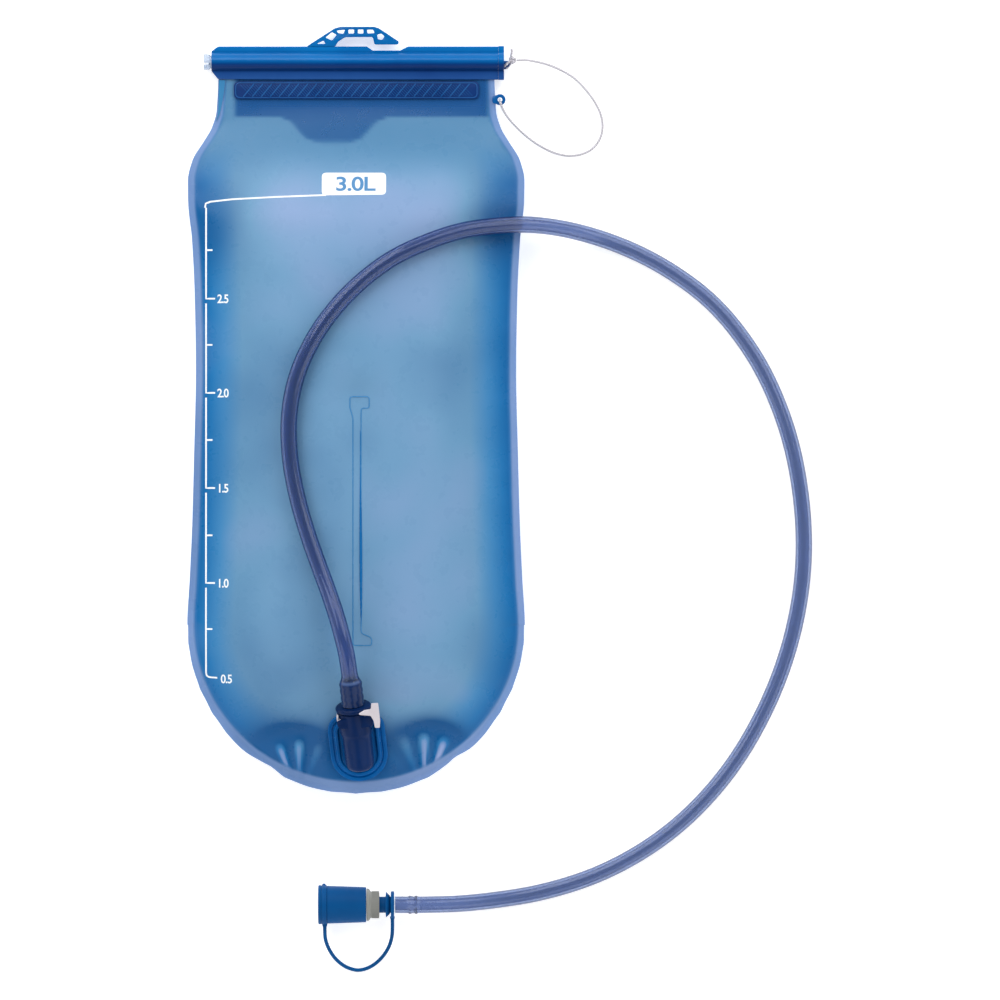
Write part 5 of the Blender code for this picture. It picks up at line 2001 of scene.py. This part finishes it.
@dataclass
class BiteValve:
    """The valve on the hose's far end: shank, ribbed shut-off body, mouthpiece and cover."""

    rib_count: int = 54

    def build(self, finishes: Wardrobe) -> None:
        """Make the pieces.

        Args:
            finishes: where the materials come from.
        """
        blue = finishes[Finish.ELASTOMER]
        cover = add_piece("valve_cover_cap", self.cover(), blue, "cover", 30.0)
        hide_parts("valve_cover")
        band = add_piece("valve_cover_band", self.band(), blue, "cover", 30.0)
        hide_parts("cover_band")
        grey = add_piece(
            "shut_off_body", self.body(finishes[Finish.GREY]), finishes[Finish.GREY], "valve_head",
            30.0,
        )
        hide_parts("valve_body")
        soft = add_piece(
            "bite_mouthpiece", self.mouthpiece(), finishes[Finish.SILICONE], "valve_head", 30.0
        )
        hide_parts("mouthpiece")
        shank = add_piece("hose_shank", self.shank(), blue, "drink_line", 30.0)
        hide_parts("valve_shank")
        ring = add_piece("leash_ring", self.ring(), blue, "drink_line", 30.0)
        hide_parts("strap_ring")

    def cover(self) -> bmesh.types.BMesh:
        """The cap: slightly tapered, with a groove for its band and a small nub at its closed end."""
        profile = fillet([
            (0.0, -19.8), (9.5, -19.8), (9.25, 5.6), (10.0, 5.6), (10.75, -16.4), (10.3, -16.8),
            (10.3, -19.7), (11.15, -19.9), (11.15, -21.3), (10.6, -21.6), (0.0, -21.6),
        ], 0.45, False)
        nub_place = VALVE_FRAME @ Matrix.Translation((-10.9 * MM, -18.4 * MM, 0.0))
        nub = turned([(0.0, -1.2), (1.0, -0.8), (1.2, 0.0), (1.0, 0.8), (0.0, 1.2)], nub_place, 16)
        return merged([turned(profile, VALVE_FRAME, 96), nub])

    def band(self) -> bmesh.types.BMesh:
        """The leash's band in the cap's groove, with the root of the leash."""
        profile = fillet([
            (10.2, -16.7), (11.05, -16.7), (11.2, -17.3), (11.2, -19.2), (11.05, -19.8), (10.2, -19.8),
        ], 0.3)
        root_place = VALVE_FRAME @ Matrix.Translation((11.0 * MM, -17.9 * MM, 0.0)) @ Matrix.Rotation(
            math.radians(-90.0), 4, "Z")
        root = turned([(0.0, -0.6), (1.7, -0.6), (1.4, 0.8), (1.1, 1.6), (0.0, 1.6)], root_place, 24)
        return merged([turned(profile, VALVE_FRAME, 96), root])

    def body(self, material: bpy.types.Material) -> bmesh.types.BMesh:
        """The grey shut-off body, with fine grip ribs round its narrow part."""
        profile = fillet([
            (4.95, 5.9), (9.2, 5.9), (9.2, 7.1), (7.55, 8.2), (7.5, 13.1), (4.95, 13.1), (4.95, 11.2),
            (6.0, 11.2), (6.0, 9.6), (4.95, 9.6),
        ], 0.3)
        ribs = rib_ring("shut_off_ribs", self.rib_count, 7.5, (0.5, 0.42, 4.0), material)
        place = VALVE_FRAME @ Matrix.Translation((0.0, 10.9 * MM, 0.0)) @ Matrix.Rotation(math.pi / 2, 4, "X")
        bmesh.ops.transform(ribs, matrix=place, verts=ribs.verts)
        return merged([turned(profile, VALVE_FRAME, 96), ribs])

    def mouthpiece(self) -> bmesh.types.BMesh:
        """The soft mouthpiece inside the cap, its tip slit."""
        profile = fillet([
            (0.0, -14.8), (4.2, -14.0), (6.6, -10.4), (7.2, -6.0), (7.2, 2.4), (8.9, 3.4), (8.9, 5.6),
            (4.95, 5.6), (4.95, 1.0), (3.6, 0.0), (3.6, -8.0), (0.0, -11.0),
        ], 1.2, False)
        corners = ((-4.2, -16.0), (4.2, -16.0), (4.2, -9.0), (-4.2, -9.0))
        slit = lofted([[(x, y, z) for x, y in corners] for z in (-0.12, 0.12)], VALVE_FRAME)
        return with_cuts(turned(profile, VALVE_FRAME, 64), [slit])

    def shank(self) -> bmesh.types.BMesh:
        """The shank that the hose is pushed on, with its flared guard."""
        profile = fillet([
            (2.4, 8.6), (4.6, 8.6), (4.6, 16.6), (7.2, 16.8), (7.1, 17.2), (5.4, 18.9), (4.6, 19.3),
            (4.4, 21.6), (2.4, 21.6),
        ], 0.25)
        return turned(profile, VALVE_FRAME, 64)

    def ring(self) -> bmesh.types.BMesh:
        """The leash's ring round the hose, with the root of the leash."""
        profile = fillet([(4.9, 19.6), (7.7, 19.6), (7.7, 21.5), (4.9, 21.5)], 0.7)
        root_place = VALVE_FRAME @ Matrix.Translation((7.3 * MM, 20.5 * MM, 0.0)) @ Matrix.Rotation(
            math.radians(-90.0), 4, "Z")
        root = turned([(0.0, -0.8), (1.5, -0.6), (1.2, 0.6), (1.05, 1.2), (0.0, 1.2)], root_place, 24)
        return merged([turned(profile, VALVE_FRAME, 64), root])


@dataclass
class InnerPieces:
    """The design's own small inner pieces, kept as they are and dressed."""

    dress: tuple[tuple[str, Finish], ...] = (
        ("centre_baffle", Finish.REAR_FILM),
        ("latch_spring", Finish.STEEL),
        ("poppet_spring", Finish.STEEL),
        ("poppet", Finish.SOCKET),
        ("poppet_seal", Finish.RUBBER),
        ("plug_o_ring_inner", Finish.RUBBER),
        ("plug_o_ring_outer", Finish.RUBBER),
        ("valve_o_ring", Finish.RUBBER),
    )

    def build(self, finishes: Wardrobe) -> None:
        """Give each piece its finish.

        Args:
            finishes: where the materials come from.
        """
        for name, finish in self.dress:
            piece = bpy.data.objects[name]
            for slot in piece.material_slots:
                slot.material = finishes[finish]
            LOG.info("%s: dressed as %s", name, finish.value.name)


def main() -> None:
    """Build the studio, the cords and then each sub-assembly, and work out the hose's start, length and
    points.
    """
    logging.basicConfig(level=logging.INFO, format="%(message)s")
    finishes = Wardrobe()
    Studio().build()
    shape = BladderShape()
    flap = FlapShape()
    hose = DrinkingHose()
    parts = [
        hose, Tether(), CoverStrap(), Bladder(shape, flap), VolumeMarks(shape), Neck(shape, flap),
        SlideClosure(), Port(), BiteValve(), InnerPieces(),
    ]
    for part in parts:
        LOG.info("building %s", type(part).__name__)
        part.build(finishes)
    hose.declare()


if __name__ == "__main__":
    main()
